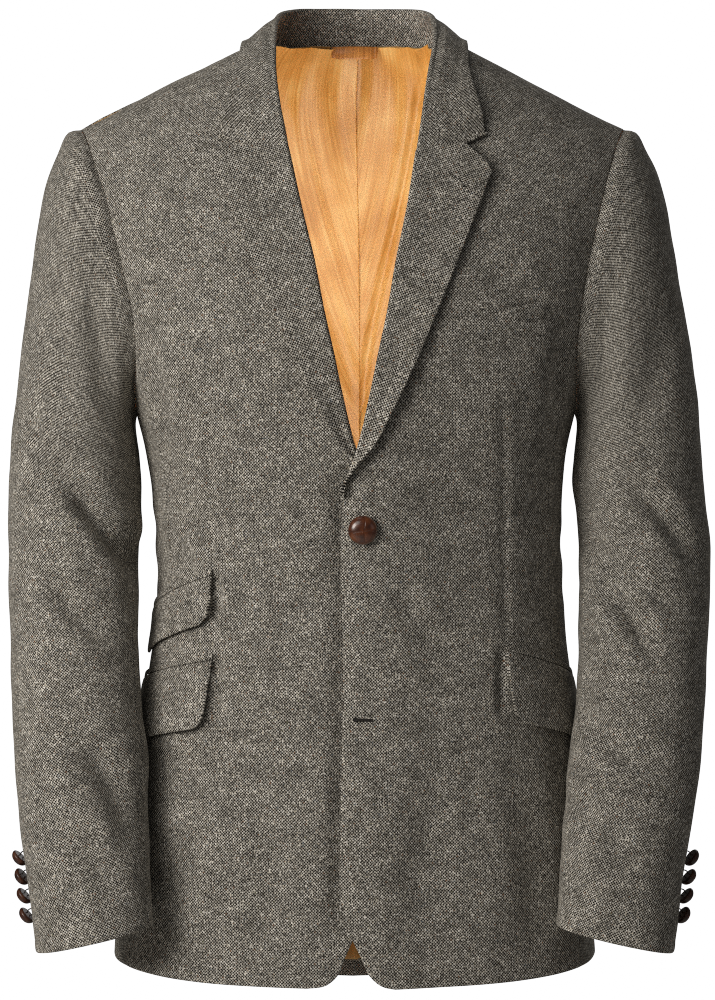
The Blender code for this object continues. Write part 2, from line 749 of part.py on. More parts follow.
def turned(name, profile, place, axis, finish):
    """A round piece from a profile of radius and height, standing on place along axis."""
    rings = []
    for radius, height in profile:
        angles = np.arange(BUTTON_SIDES) * 2 * pi / BUTTON_SIDES
        around = np.stack([np.cos(angles), np.sin(angles)], -1) * radius
        rings.append(np.column_stack([around, np.full(BUTTON_SIDES, height)]))
    points = np.concatenate(rings)
    faces = []
    for ring in range(len(profile) - 1):
        for side in range(BUTTON_SIDES):
            after = (side + 1) % BUTTON_SIDES
            low, high = ring * BUTTON_SIDES, (ring + 1) * BUTTON_SIDES
            faces.append((low + side, low + after, high + after, high + side))
    faces.append(tuple(range(BUTTON_SIDES))[::-1])
    faces.append(tuple(range(len(points) - BUTTON_SIDES, len(points))))
    mesh = bpy.data.meshes.new(name)
    mesh.from_pydata(points.tolist(), [], faces)
    mesh.shade_smooth()
    mesh.set_sharp_from_angle(angle=radians(40))
    mesh.materials.append(finish)
    piece = bpy.data.objects.new(name, mesh)
    bpy.context.scene.collection.objects.link(piece)
    upright = Vector(axis).to_track_quat("Z", "Y").to_matrix().to_4x4()
    piece.matrix_world = Matrix.Translation(Vector(leaned(np.asarray(place)))) @ upright
    return piece


def button_profile(radius, height, shank):
    """A leather button: a narrow shank, then a domed cap with a full edge."""
    cap = height - shank
    return (
        (radius * 0.22, 0.0),
        (radius * 0.22, shank),
        (radius * 0.86, shank + cap * 0.05),
        (radius, shank + cap * 0.35),
        (radius * 0.90, shank + cap * 0.68),
        (radius * 0.45, height),
    )


def lower_button_profile(radius, height):
    """A flat button that lies hidden between the fronts."""
    return (radius * 0.9, 0.0), (radius, height * 0.3), (radius, height * 0.7), (radius * 0.85, height)


# ---- the pieces ---------------------------------------------------------------------------------


def build_body(tweed):
    left, right = forepart(LEFT_FRONT_EDGE), forepart(RIGHT_FRONT_EDGE)
    wall("front_left", on_front(left, 0.0, True), on_front(left, -TWEED, True), tweed)
    wall("front_right", mirrored(raised(right, 0.0)), mirrored(raised(right, -TWEED)), tweed)
    for name, places in (("side", side_panel()), ("back", back_grid())):
        pair(name, raised(places, 0.0), raised(places, -TWEED), tweed)


def build_lining(satin):
    """Two halves inside the back, short of the hem and the armholes, meeting in the centre pleat."""
    places = back_grid()[2:, 2:]
    places[:, -1, 0] = CENTRE_BACK - PLEAT_GAP
    out = -(TWEED + LINING_CLEARANCE)
    outer, inner = raised(places, out), raised(places, out - SATIN)
    for face in (outer, inner):
        face[-1] += (face[-2] - face[-1]) * LINING_DROP
    pair("lining", outer, inner, satin)


def build_sleeves(tweed):
    for name, (armhole_turns, cuff_turns) in zip(("sleeve_top", "sleeve_under"), sleeve_turns()):
        outer, inner = sleeve_wall(narrowed(armhole_turns), narrowed(cuff_turns))
        pair(name, outer, inner, tweed)


def build_collar(tweed):
    places, out = lapel(), DOUBLED_TWEED + LEAF_CLEARANCE
    wall("lapel_left", on_front(places, out, True), on_front(places, LEAF_CLEARANCE, True), tweed)
    faces = raised(places, out), raised(places, LEAF_CLEARANCE)
    wall("lapel_right", mirrored(faces[0]), mirrored(faces[1]), tweed)
    half = collar_fall()
    leaf = np.concatenate([half, (half[:-1] * (-1, 1, 1))[::-1]])
    wall("collar_leaf", leaf, below(leaf, DOUBLED_TWEED), tweed)
    half = collar_stand_half()
    stand = np.concatenate([half, (half[:, :-1] * (-1, 1, 1))[:, ::-1]], 1)
    wall("collar_stand", stand, below(stand, TWEED), tweed)


def build_pockets(tweed):
    for name, pocket, side in (
        ("hip_flap_left", HIP_LEFT, 1),
        ("hip_flap_right", HIP_RIGHT, -1),
        ("ticket_flap", TICKET, -1),
    ):
        flap = band(pocket, 0.0, pocket["drop"], FLAP_ROWS, FLAP_CORNER)[::-1]
        jet = band(pocket, -JET_HEIGHT, -JET_GAP, (0, 1), 0.0)[::-1]
        for piece, places in ((name, flap), (name.replace("flap", "jet"), jet)):
            outer, inner = raised(places, TWEED + FLAP_CLEARANCE), raised(places, FLAP_CLEARANCE)
            if side < 0:
                outer, inner = mirrored(outer), mirrored(inner)
            wall(piece, outer, inner, tweed)
    top = blend(np.array(WELT[0]), np.array(WELT[1]), spaced(0, 1, WELT_CELLS))
    grid = np.stack([top - (0, WELT_HEIGHT), top - (0, WELT_HEIGHT / 2), top])
    places = place_at(grid[..., 0], grid[..., 1])
    faces = raised(places, TWEED + FLAP_CLEARANCE), raised(places, FLAP_CLEARANCE)
    wall("breast_welt", *faces, tweed)


def build_hanger(satin):
    """A plain strip across the back neck, just in front of the lining."""
    steps = spaced(0, 1, HANGER_CELLS)
    x = (1 - 2 * steps) * HANGER_HALF_LENGTH
    y = HANGER_Y - HANGER_BOW * np.sin(pi * steps)
    top = np.stack([x, y, np.full_like(x, HANGER_TOP)], -1)
    strip = np.stack([top, top - (0, 0, HANGER_DROP)])
    wall("hanger_loop", strip, below(strip, SATIN), satin)


def build_buttons(leather):
    centre = place_at(*FRONT_BUTTON)
    base = on_front(centre, FRONT_BUTTON_CLEARANCE, True)
    profile = button_profile(FRONT_BUTTON_RADIUS, FRONT_BUTTON_HEIGHT, FRONT_SHANK)
    turned("front_button", profile, base, outward(centre), leather)
    centre = place_at(*LOWER_BUTTON)
    base = raised(centre, 2 * GAP)
    profile = lower_button_profile(LOWER_BUTTON_RADIUS, LOWER_BUTTON_HEIGHT)
    turned("lower_button", profile, base, outward(centre), leather)
    profile = button_profile(CUFF_BUTTON_RADIUS, CUFF_SHANK + CUFF_BUTTON_CAP, CUFF_SHANK)
    for number in range(CUFF_BUTTONS):
        z = CUFF_BUTTON_Z - number * CUFF_BUTTON_PITCH
        ring = np.interp(-z, -SLEEVE["outer_z"], np.arange(SLEEVE_RINGS + 1.0))
        normal = sleeve_normal(CUFF_BUTTON_TURN, ring)
        axis = normal - (0, 0, CUFF_BUTTON_DROOP)
        place = sleeve_point(CUFF_BUTTON_TURN, ring) + normal * CUFF_BUTTON_CLEARANCE
        for side, name in ((1, "left"), (-1, "right")):
            mirror = (side, 1, 1)
            turned(f"cuff_button_{name}_{number + 1}", profile, place * mirror, axis * mirror, leather)


def main():
    for thing in list(bpy.data.objects):
        bpy.data.objects.remove(thing, do_unlink=True)
    tweed = material("tweed", "6F6A62", 0.95)
    satin = material("satin_lining", "C9923F", 0.45)
    leather = material("button_leather", "3A1F14", 0.35)
    build_body(tweed)
    build_lining(satin)
    build_sleeves(tweed)
    build_collar(tweed)
    build_pockets(tweed)
    build_hanger(satin)
    build_buttons(leather)


main()
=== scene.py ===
"""The looks of a tweed hacking jacket, filled out as on a wearer and fastened at its upper button.

Metres, +Z up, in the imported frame: the front faces -Y and the wearer's left side is at +X. Every piece of
cloth is a thin shell on the same form as its solid, with rounded edges, seams and creases of its own sizes.
"""

import json
from math import cos, hypot, pi, radians, sin

import bmesh
import bpy
import numpy as np
from mathutils import Matrix, Vector

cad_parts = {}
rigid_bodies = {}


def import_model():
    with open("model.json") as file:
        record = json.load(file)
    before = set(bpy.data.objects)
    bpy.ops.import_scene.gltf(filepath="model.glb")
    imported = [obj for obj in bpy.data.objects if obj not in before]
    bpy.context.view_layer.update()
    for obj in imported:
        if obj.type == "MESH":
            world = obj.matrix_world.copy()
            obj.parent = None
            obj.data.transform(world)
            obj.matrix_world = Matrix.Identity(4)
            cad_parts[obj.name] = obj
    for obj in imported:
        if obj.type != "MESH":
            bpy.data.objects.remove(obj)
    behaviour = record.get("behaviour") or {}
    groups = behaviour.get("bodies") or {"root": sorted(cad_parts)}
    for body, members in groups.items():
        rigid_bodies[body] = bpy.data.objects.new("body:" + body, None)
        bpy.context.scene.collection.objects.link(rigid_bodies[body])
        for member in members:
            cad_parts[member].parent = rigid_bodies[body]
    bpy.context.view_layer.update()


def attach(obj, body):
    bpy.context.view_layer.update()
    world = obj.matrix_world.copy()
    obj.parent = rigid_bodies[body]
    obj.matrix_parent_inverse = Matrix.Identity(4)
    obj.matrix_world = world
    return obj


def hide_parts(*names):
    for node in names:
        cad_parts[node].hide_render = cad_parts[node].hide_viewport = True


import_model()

# Cloth thicknesses
TWEED = 0.002
DOUBLED_TWEED = 0.003
SATIN = 0.001
LEAF_CLEARANCE = 0.0006

# The body form: horizontal sections up to the chest line, then arches over to the shoulder ridge
CHEST_Z = -0.25
SQUARENESS = 0.03
RIDGE_Z = 0.0804
SHOULDER_SLOPE = 0.507
NECK_X = 0.0875
NECK_LIFT = 0.02
ARCH_RADIUS = 0.26
RIDGE = ARCH_RADIUS * pi / 2

# Seams: where they run, in turns from the shoulder point forwards round the armhole, and how they close
FRONT_SEAM_TURN = 0.36
BACK_SEAM_TURN = 0.63
FRONT_SEAM_HEM = 1.12
BACK_SEAM_HEM = 2.05
SEAM_GAP = 0.00012
CENTRE_BACK_GAP = 0.00002  # in turns
SEAM_ROUND = 0.0012
EDGE_ROUND = 0.0022


def table(names, *rows):
    return dict(zip(names.split(), np.array(rows, float).T))


BODY = table(
    "z half_width front back",
    (-0.760, 0.1985, 0.128, 0.131),
    (-0.700, 0.1965, 0.127, 0.128),
    (-0.600, 0.1895, 0.122, 0.122),
    (-0.520, 0.1800, 0.118, 0.112),
    (-0.440, 0.1680, 0.116, 0.101),
    (-0.380, 0.1655, 0.116, 0.097),
    (-0.300, 0.1715, 0.127, 0.108),
    (-0.250, 0.1830, 0.133, 0.117),
    (-0.150, 0.2120, 0.134, 0.124),
    (-0.050, 0.2440, 0.134, 0.123),
    (0.080, 0.2700, 0.134, 0.120),
)
HEM = table(
    "round z",
    (0.0, -0.7195), (0.6, -0.7165), (1.2, -0.7100), (1.6, -0.7070), (2.1, -0.7230), (2.6, -0.7380),
    (3.2, -0.7440),
)
ARMHOLE = table(  # from the shoulder point down the front, under the arm and up the back
    "round z",
    (1.000, -0.060), (0.985, -0.090), (0.998, -0.118), (1.019, -0.152), (1.040, -0.178),
    (1.100, -0.207), (1.260, -0.240), (1.571, -0.262), (1.870, -0.247), (2.000, -0.210),
    (2.045, -0.170), (2.070, -0.120), (2.075, -0.085), (2.070, -0.055),
)
SHOULDER_POINT = 1.060
BACK_SHOULDER_POINT = pi - SHOULDER_POINT
SIDES = ((1, "left"), (-1, "right"))  # the wearer's
LEFT_FRONT_EDGE = (  # across and up, from the hem corner to the top of the roll on the wearer's left
    (0.0315, -0.7195), (0.0217, -0.7172), (0.0115, -0.7085), (0.0045, -0.6936), (-0.0014, -0.6819),
    (-0.0080, -0.6650), (-0.0115, -0.6450), (-0.0122, -0.6000), (-0.0122, -0.4700), (-0.0122, -0.3450),
    (-0.0085, -0.3225), (0.0004, -0.2990), (0.0108, -0.2513),
)
RIGHT_FRONT_EDGE = (  # the same on the wearer's right, across counted towards its own side
    (0.0370, -0.7195), (0.0225, -0.7172), (0.0145, -0.7109), (0.0074, -0.6952), (0.0014, -0.6819),
    (-0.0060, -0.6550), (-0.0120, -0.6200), (-0.0180, -0.5500), (-0.0230, -0.4500), (-0.0240, -0.3600),
    (-0.0140, -0.3250), (0.0004, -0.2990), (0.0108, -0.2513),
)
ROLL_LINE = (
    (0.0108, -0.2513), (0.0168, -0.2223), (0.0242, -0.1886), (0.0315, -0.1485), (0.0412, -0.1045),
    (0.0514, -0.0550),
)
NECKLINE = (  # forepart, from the top of the roll to the shoulder seam
    (0.0514, -0.0550), (0.0620, -0.0300), (0.0750, 0.0000), (0.0875, 0.0330),
)
BACK_NECKLINE = ((0.0, 0.046), (0.035, 0.0445), (0.065, 0.0400), (0.0875, 0.0335))
LAPEL_EDGE = (  # from the break to the peak of the lapel
    (-0.0035, -0.3135), (0.0139, -0.2913), (0.0304, -0.2606), (0.0461, -0.2285), (0.0627, -0.1904),
    (0.0787, -0.1520), (0.0951, -0.1118), (0.1014, -0.0965), (0.1090, -0.0768),
)

# The collar from its front end round to centre back: the fold, and the edge of the fall
FOLD = (
    (0.0520, -0.0965, -0.0570), (0.0585, -0.0800, -0.0200), (0.0640, -0.0540, 0.0170),
    (0.0665, -0.0300, 0.0390), (0.0670, 0.0000, 0.0575), (0.0635, 0.0300, 0.0680),
    (0.0505, 0.0560, 0.0740), (0.0280, 0.0730, 0.0765), (0.0000, 0.0790, 0.0770),
)
FALL_EDGE = (
    (0.1064, -0.0800, -0.0436), (0.1038, -0.0735, -0.0269), (0.0988, -0.0615, -0.0067),
    (0.0940, -0.0440, 0.0130), (0.0915, -0.0100, 0.0375), (0.0900, 0.0280, 0.0400),
    (0.0760, 0.0600, 0.0330), (0.0430, 0.0840, 0.0290), (0.0000, 0.0925, 0.0280),
)
NECK_SEAM = (
    (0.0600, -0.0740, -0.0250), (0.0660, -0.0560, 0.0020), (0.0740, -0.0330, 0.0220),
    (0.0775, -0.0050, 0.0405), (0.0730, 0.0220, 0.0450), (0.0550, 0.0480, 0.0470),
    (0.0300, 0.0640, 0.0480), (0.0000, 0.0700, 0.0485),
)
FALL_BULGE = 0.004
FALL_SLOPE = 0.4
NECK_MIDDLE_Y = 0.02
STAND_START = 0.17  # where the stand begins, as a fraction of the fold
STAND_INSET = 0.0052

# The sleeve, one row for each ring: its outer and inner ends, how far back its middle is, its half depth
SLEEVE = table(
    "outer_x outer_z inner_x inner_z middle_y depth",
    (0.2240, -0.0355, 0.1800, -0.2620, 0.000, 0.0730),
    (0.2345, -0.0382, 0.1815, -0.2670, -0.001, 0.0740),
    (0.2415, -0.0520, 0.1822, -0.2720, -0.002, 0.0740),
    (0.2510, -0.0770, 0.1818, -0.2790, -0.003, 0.0735),
    (0.2600, -0.1250, 0.1802, -0.2890, -0.004, 0.0720),
    (0.2690, -0.1800, 0.1780, -0.3020, -0.006, 0.0700),
    (0.2770, -0.2450, 0.1765, -0.3220, -0.009, 0.0670),
    (0.2815, -0.3000, 0.1785, -0.3470, -0.014, 0.0640),
    (0.2840, -0.3500, 0.1795, -0.3760, -0.021, 0.0610),
    (0.2835, -0.4100, 0.1785, -0.4200, -0.033, 0.0580),
    (0.2805, -0.4700, 0.1760, -0.4700, -0.052, 0.0550),
    (0.2745, -0.5300, 0.1710, -0.5250, -0.073, 0.0520),
    (0.2665, -0.5900, 0.1655, -0.5800, -0.092, 0.0480),
    (0.2580, -0.6430, 0.1615, -0.6280, -0.106, 0.0440),
    (0.2500, -0.6915, 0.1595, -0.6710, -0.116, 0.0410),
)
SLEEVE_RINGS = len(SLEEVE["depth"]) - 1
CAP_RINGS = 8
SLEEVE_SQUARENESS = 0.015
FOREARM = 0.4275  # turns at the armhole where the top sleeve ends in front
HINDARM = 0.815
ARMHOLE_GAP = 0.0003
SLEEVE_SEAM_TURN = 0.0007 / 4
FOREARM_SEAM_SHIFT = 0.01
HINDARM_SEAM_CUFF = -0.085  # turns at the cuff, next to the cuff buttons

# The left front laps over the right by these distances at each height
LAP = table(
    "z out",
    (-0.76, 0.0062), (-0.50, 0.0066), (-0.36, 0.0056), (-0.30, 0.0068), (-0.26, 0.0028), (-0.22, 0.0),
)
LAP_FULL_X = 0.018
LAP_END_X = 0.080

# How far the whole garment leans to its right or left at each height
LEAN = table(
    "z across",
    (-0.75, -0.0026), (-0.65, -0.0020), (-0.50, 0.0008), (-0.40, 0.0015), (-0.30, -0.0008),
    (-0.20, -0.0012), (-0.10, -0.0026), (-0.05, -0.0040), (0.00, -0.0044), (0.04, -0.0024),
    (0.08, -0.0018),
)

# Pockets: the front top corner, slope down to the back, length along the cloth, drop
HIP_LEFT = dict(x=0.116, z=-0.4555, slope=0.235, length=0.150, drop=0.056)
HIP_RIGHT = dict(x=0.116, z=-0.4630, slope=0.175, length=0.150, drop=0.054)
TICKET = dict(x=0.1165, z=-0.3955, slope=0.30, length=0.098, drop=0.038)
FLAP_CORNER = 0.009
JET_HEIGHT = 0.005
WELT = ((0.0700, -0.1990), (0.1490, -0.1790))
WELT_HEIGHT = 0.020

# Buttons and buttonholes
FRONT_BUTTON = (0.0034, -0.3584)
LOWER_BUTTON = (0.0040, -0.5087)
FRONT_BUTTON_RADIUS = 0.0115
LOWER_BUTTON_RADIUS = 0.0100
FRONT_BUTTON_HEIGHT = 0.0085
FRONT_SHANK = 0.0012
LOWER_BUTTON_HEIGHT = 0.0030
CUFF_BUTTON_RADIUS = 0.0074
CUFF_BUTTON_CAP = 0.0065
CUFF_BUTTONS = 4
CUFF_BUTTON_PITCH = 0.0150
CUFF_BUTTON_Z = -0.6155
CUFF_BUTTON_TURN = -0.045
CUFF_SHANK = 0.0050
CUFF_BUTTON_DROOP = 0.60
FRONT_BUTTON_CLEARANCE = 0.0015
LOWER_BUTTON_CLEARANCE = 0.0006
CUFF_BUTTON_CLEARANCE = 0.0018

HANGER_HALF_LENGTH = 0.019
HANGER_TOP = 0.0432
HANGER_DROP = 0.011
HANGER_Y = 0.0610
HANGER_BOW = 0.0025
HANGER_BELLY = 0.0009
HANGER_OUT = 0.0038  # how far it stands off the lining


# ---- curves -------------------------------------------------------------------------------------


def smooth(x, xs, ys):
    """A smooth curve through the rows of a table."""
    x = np.clip(x, xs[0], xs[-1])
    slope = np.gradient(ys, xs)
    k = np.clip(np.searchsorted(xs, x) - 1, 0, len(xs) - 2)
    step = xs[k + 1] - xs[k]
    t = (x - xs[k]) / step
    start = (1 + 2 * t) * (1 - t) ** 2 * ys[k] + t * (1 - t) ** 2 * step * slope[k]
    return start + t * t * (3 - 2 * t) * ys[k + 1] - t * t * (1 - t) * step * slope[k + 1]


def lengths(points):
    """The distance of each point along a line of points."""
    return np.concatenate([[0], np.cumsum(np.linalg.norm(np.diff(points, axis=0), axis=1))])


def along(rows, fractions):
    """Points at these fractions of the length of the smooth curve through rows."""
    rows = np.array(rows, float)
    knots = lengths(rows)
    at = np.asarray(fractions, float) * knots[-1]
    return np.stack([smooth(at, knots, column) for column in rows.T], -1)


def bent(rows, fractions):
    """Points at these fractions of the length of the straight lines through rows."""
    rows = np.array(rows, float)
    knots = lengths(rows)
    at = np.asarray(fractions, float) * knots[-1]
    return np.stack([np.interp(at, knots, column) for column in rows.T], -1)


def spaced(low, high, cells):
    """The ends and the divisions of a range cut into equal cells."""
    return np.linspace(low, high, cells + 1)


def unit(vectors):
    return vectors / np.linalg.norm(vectors, axis=-1, keepdims=True)


def blend(start, end, steps):
    """Points at these fractions of the way from start to end."""
    steps = np.asarray(steps, float)[:, None]
    return start * (1 - steps) + end * steps


def patch(bottom, top, left, right, across, up):
    """A grid of rows filled in between four edges, at the given fractions across and up."""
    s = np.asarray(across, float)[None, :, None]
    t = np.asarray(up, float)[:, None, None]
    rows = bottom[None] * (1 - t) + top[None] * t
    columns = left[:, None] * (1 - s) + right[:, None] * s
    lower = bottom[0] * (1 - s) + bottom[-1] * s
    upper = top[0] * (1 - s) + top[-1] * s
    return rows + columns - lower * (1 - t) - upper * t


def ease(x, start, end):
    """0 before start and 1 after end, with a soft turn at both."""
    t = np.clip((x - start) / (end - start), 0, 1)
    return t * t * (3 - 2 * t)


# ---- the body form ------------------------------------------------------------------------------


def rounded(angle, squareness):
    """A quarter of a squared ellipse: how far across and how deep at this angle."""
    across = np.sin(angle) + squareness * np.sin(3 * angle)
    deep = np.cos(angle) - squareness * np.cos(3 * angle)
    return across / (1 - squareness), deep / (1 - squareness)


def ridge_z(x):
    """Height of the shoulder ridge at this distance from the centre."""
    across = np.sqrt(x * x + 0.015**2)
    near_neck = np.clip(1 - across / NECK_X, 0, None)
    return RIDGE_Z - SHOULDER_SLOPE * across + NECK_LIFT * near_neck**2


def arch_squareness(x, back):
    """The arches are slack in front of the neck and fuller over the back."""
    outwards = np.clip((np.abs(x) - 0.06) / 0.16, 0, 1)
    return np.where(back, 0.04 - 0.02 * outwards, -0.03 + 0.04 * outwards)


def form(place):
    """Point of the body form. place holds the turn round it from centre front, and the rise above the
    chest line, which past that line runs over the shoulder as far as RIDGE."""
    turn, rise = place[..., 0], place[..., 1]
    across, deep = rounded(turn, SQUARENESS)
    back = deep < 0
    over = np.clip(rise, 0, None) / ARCH_RADIUS
    z = CHEST_Z + rise
    for _ in range(12):
        x = smooth(z, BODY["z"], BODY["half_width"]) * across
        up, arch = rounded(over, arch_squareness(x, back))
        z = np.where(rise < 0, CHEST_Z + rise, CHEST_Z + up * (ridge_z(x) - CHEST_Z))
    depth = np.where(back, smooth(z, BODY["z"], BODY["back"]), smooth(z, BODY["z"], BODY["front"]))
    return np.stack([x, -depth * deep * np.where(rise < 0, 1, arch), z], -1)


def place_at(x, z, back=False):
    """The place on the form that has this x and z, on its front or its back."""
    x, z = np.broadcast_arrays(np.asarray(x, float), np.asarray(z, float))
    angles = np.linspace(0, pi / 2, 361)
    across = np.abs(x) / smooth(z, BODY["z"], BODY["half_width"])
    turn = np.sign(x) * np.interp(across, rounded(angles, SQUARENESS)[0], angles)
    up = np.clip((z - CHEST_Z) / (ridge_z(x) - CHEST_Z), 0, 1)
    low, high = np.zeros(x.shape), np.full(x.shape, pi / 2)
    for _ in range(40):
        middle = (low + high) / 2
        short = rounded(middle, arch_squareness(x, np.full(x.shape, back)))[0] < up
        low, high = np.where(short, middle, low), np.where(short, high, middle)
    rise = np.where(z < CHEST_Z, z - CHEST_Z, low * ARCH_RADIUS)
    return np.stack([pi - turn if back else turn, rise], -1)


def outward(place):
    """The form's outward normal."""
    nudge = 1e-4
    round_it = form(place + (nudge, 0)) - form(place - (nudge, 0))
    up_it = form(place + (0, nudge)) - form(place - (0, nudge))
    return unit(np.cross(round_it, up_it))


def raised(place, height):
    """Points at this height off the form."""
    return form(place) + outward(place) * np.asarray(height)[..., None]


def lap(points):
    """How far the wearer's left front stands off the form, to pass over the right one."""
    reach = 1 - ease(points[..., 0], LAP_FULL_X, LAP_END_X)
    return smooth(points[..., 2], LAP["z"], LAP["out"]) * reach


def on_front(place, height=0.0, lapped=False):
    """Points off a forepart, which itself stands off the form where it laps over the other."""
    out = lap(form(place)) if lapped else 0.0
    return raised(place, height + out)


def off_form(points, height):
    """The points, with any that are nearer to the form than height moved out along Y."""
    x, y, z = points[..., 0], points[..., 1], points[..., 2]
    below_ridge = z < ridge_z(x) - 0.001
    safe_z = np.minimum(z, ridge_z(x) - 0.001)
    front = raised(place_at(x, safe_z), height)[..., 1]
    back = raised(place_at(x, safe_z, back=True), height)[..., 1]
    pushed = np.where(y < 0, np.minimum(y, front), np.maximum(y, back))
    return np.stack([x, np.where(below_ridge, pushed, y), z], -1)


# ---- armhole and seams --------------------------------------------------------------------------


def armhole_curve():
    """Places at even distances round the armhole."""
    front = place_of_section(ARMHOLE["round"], ARMHOLE["z"])
    rows = np.concatenate([[(SHOULDER_POINT, RIDGE)], front, [(BACK_SHOULDER_POINT, RIDGE)]])
    fine = along(rows, spaced(0, 1, 400))
    length = lengths(form(fine))
    return length / length[-1], fine


def place_of_section(turn, z):
    """Place from a turn round the form and a height."""
    across = smooth(z, BODY["z"], BODY["half_width"]) * rounded(turn, SQUARENESS)[0]
    at = place_at(across, z)
    at_back = place_at(across, z, back=True)
    rise = np.where(turn > pi / 2, at_back[..., 1], at[..., 1])
    return np.stack([turn, rise], -1)


ARMHOLE_LENGTH, ARMHOLE_PLACES = armhole_curve()


def armhole(turns):
    """Places on the armhole at these turns, from 0 at the shoulder point to 1."""
    return np.stack([np.interp(turns, ARMHOLE_LENGTH, column) for column in ARMHOLE_PLACES.T], -1)


def hem_place(turn):
    """Places on the hem at these turns round the form."""
    return np.stack([turn, smooth(turn, HEM["round"], HEM["z"]) - CHEST_Z], -1)


HALF_GAP = (SEAM_GAP / 2 / BODY["half_width"].min(), 0)


def graded(cells, start=(), end=()):
    """Fractions in even cells from 0 to 1, with finer ones close to an end that has a rounded edge."""
    low = start[-1] if start else 0
    high = end[-1] if end else 0
    even = np.linspace(low, 1 - high, cells + 1)[1:-1]
    return np.concatenate([[0], start, even, 1 - np.array(end[::-1]), [1]])


SIDE_EDGE = (0.0012, 0.0030, 0.0060, 0.0110, 0.0180)
LONG_EDGE = (0.0005, 0.0013, 0.0026, 0.0045, 0.0080)
ACROSS = graded(58, SIDE_EDGE, SIDE_EDGE)
LOW = graded(128, LONG_EDGE)
HIGH = graded(84, (), LONG_EDGE)
SIDE_ACROSS = graded(30, SIDE_EDGE, SIDE_EDGE)
ROLL_TUCK = 0.0030  # the front's edge stops short of the roll, which turns round it


def side_seam(hem_turn, armhole_turn):
    """Places up a seam from the hem to the armhole."""
    return blend(hem_place(np.array(hem_turn)), armhole(armhole_turn), LOW)


def tucked(rows):
    """Points across and up a front edge, moved in where the roll of the lapel turns round them."""
    return rows + np.stack([ROLL_TUCK * ease(rows[:, 1], -0.325, -0.29), 0 * rows[:, 1]], -1)


def forepart(edge_rows):
    """Places of a forepart: rows from the hem up, columns from the front edge to the side seam."""
    edge = tucked(along(edge_rows, LOW))
    edge = place_at(edge[:, 0], edge[:, 1])
    seam = side_seam(FRONT_SEAM_HEM, FRONT_SEAM_TURN) - HALF_GAP
    hem = hem_place(edge[0, 0] + (seam[0, 0] - edge[0, 0]) * ACROSS)
    chest = blend(edge[-1], seam[-1], ACROSS)
    low = patch(hem, chest, edge, seam, ACROSS, LOW)
    inner = tucked(along(ROLL_LINE + NECKLINE[1:], HIGH))
    inner = place_at(inner[:, 0], inner[:, 1])
    inner[-1, 1] = RIDGE
    outer = armhole(FRONT_SEAM_TURN * (1 - HIGH)) - HALF_GAP
    high = patch(chest, blend(inner[-1], outer[-1], ACROSS), inner, outer, ACROSS, HIGH)
    grid = np.concatenate([low, high[1:]])
    grid[-1, :, 1] -= SEAM_GAP
    return grid


def side_panel():
    """Places of a panel under the arm."""
    front = side_seam(FRONT_SEAM_HEM, FRONT_SEAM_TURN) + HALF_GAP
    back = side_seam(BACK_SEAM_HEM, BACK_SEAM_TURN) - HALF_GAP
    hem = hem_place(blend(front[0], back[0], SIDE_ACROSS)[:, 0])
    top = armhole(FRONT_SEAM_TURN + (BACK_SEAM_TURN - FRONT_SEAM_TURN) * SIDE_ACROSS)
    return patch(hem, top, front, back, SIDE_ACROSS, LOW)


def back_grid():
    """Places of a back half: rows from the hem up, columns from the side seam to centre back."""
    seam = side_seam(BACK_SEAM_HEM, BACK_SEAM_TURN) + HALF_GAP
    centre_turn = pi - HALF_GAP[0]
    centre_chest = np.array((centre_turn, 0.0))
    centre = blend(hem_place(np.array(centre_turn)), centre_chest, LOW)
    hem = hem_place(seam[0, 0] + (centre[0, 0] - seam[0, 0]) * ACROSS)
    chest = blend(seam[-1], centre_chest, ACROSS)
    low = patch(hem, chest, seam, centre, ACROSS, LOW)
    outer = armhole(BACK_SEAM_TURN + (1 - BACK_SEAM_TURN) * HIGH) + HALF_GAP
    neck_from = 0.625
    neck = bent(BACK_NECKLINE, np.clip((1 - ACROSS) / (1 - neck_from), 0, 1))
    neck = place_at(neck[:, 0], neck[:, 1], back=True)
    shoulder = blend(outer[-1], np.array((neck[0, 0], RIDGE)), np.clip(ACROSS / neck_from, 0, 1))
    top = np.where((ACROSS < neck_from)[:, None], shoulder, neck)
    top[-1, 0] = centre_turn
    inner = blend(centre_chest, top[-1], HIGH)
    high = patch(chest, top, outer, inner, ACROSS, HIGH)
    grid = np.concatenate([low, high[1:]])
    grid[-1, :, 1] -= SEAM_GAP
    return grid


# ---- distances along the cloth ------------------------------------------------------------------

FORM_TURNS = np.linspace(-0.3, pi + 0.1, 260)
FORM_RISES = np.linspace(-0.52, RIDGE, 220)


def form_distances():
    """Distances round from centre front and up from the chest line, at a grid of places."""
    turns, rises = np.meshgrid(FORM_TURNS, FORM_RISES, indexing="ij")
    points = form(np.stack([turns, rises], -1))
    step_round = np.linalg.norm(np.diff(points, axis=0), axis=-1)
    step_up = np.linalg.norm(np.diff(points, axis=1), axis=-1)
    far_round = np.concatenate([0 * step_round[:1], np.cumsum(step_round, 0)])
    far_up = np.concatenate([0 * step_up[:, :1], np.cumsum(step_up, 1)], 1)
    centre = np.searchsorted(FORM_TURNS, 0)
    chest = np.searchsorted(FORM_RISES, 0)
    return far_round - far_round[centre], far_up - far_up[:, chest, None]


FAR_ROUND, FAR_UP = form_distances()


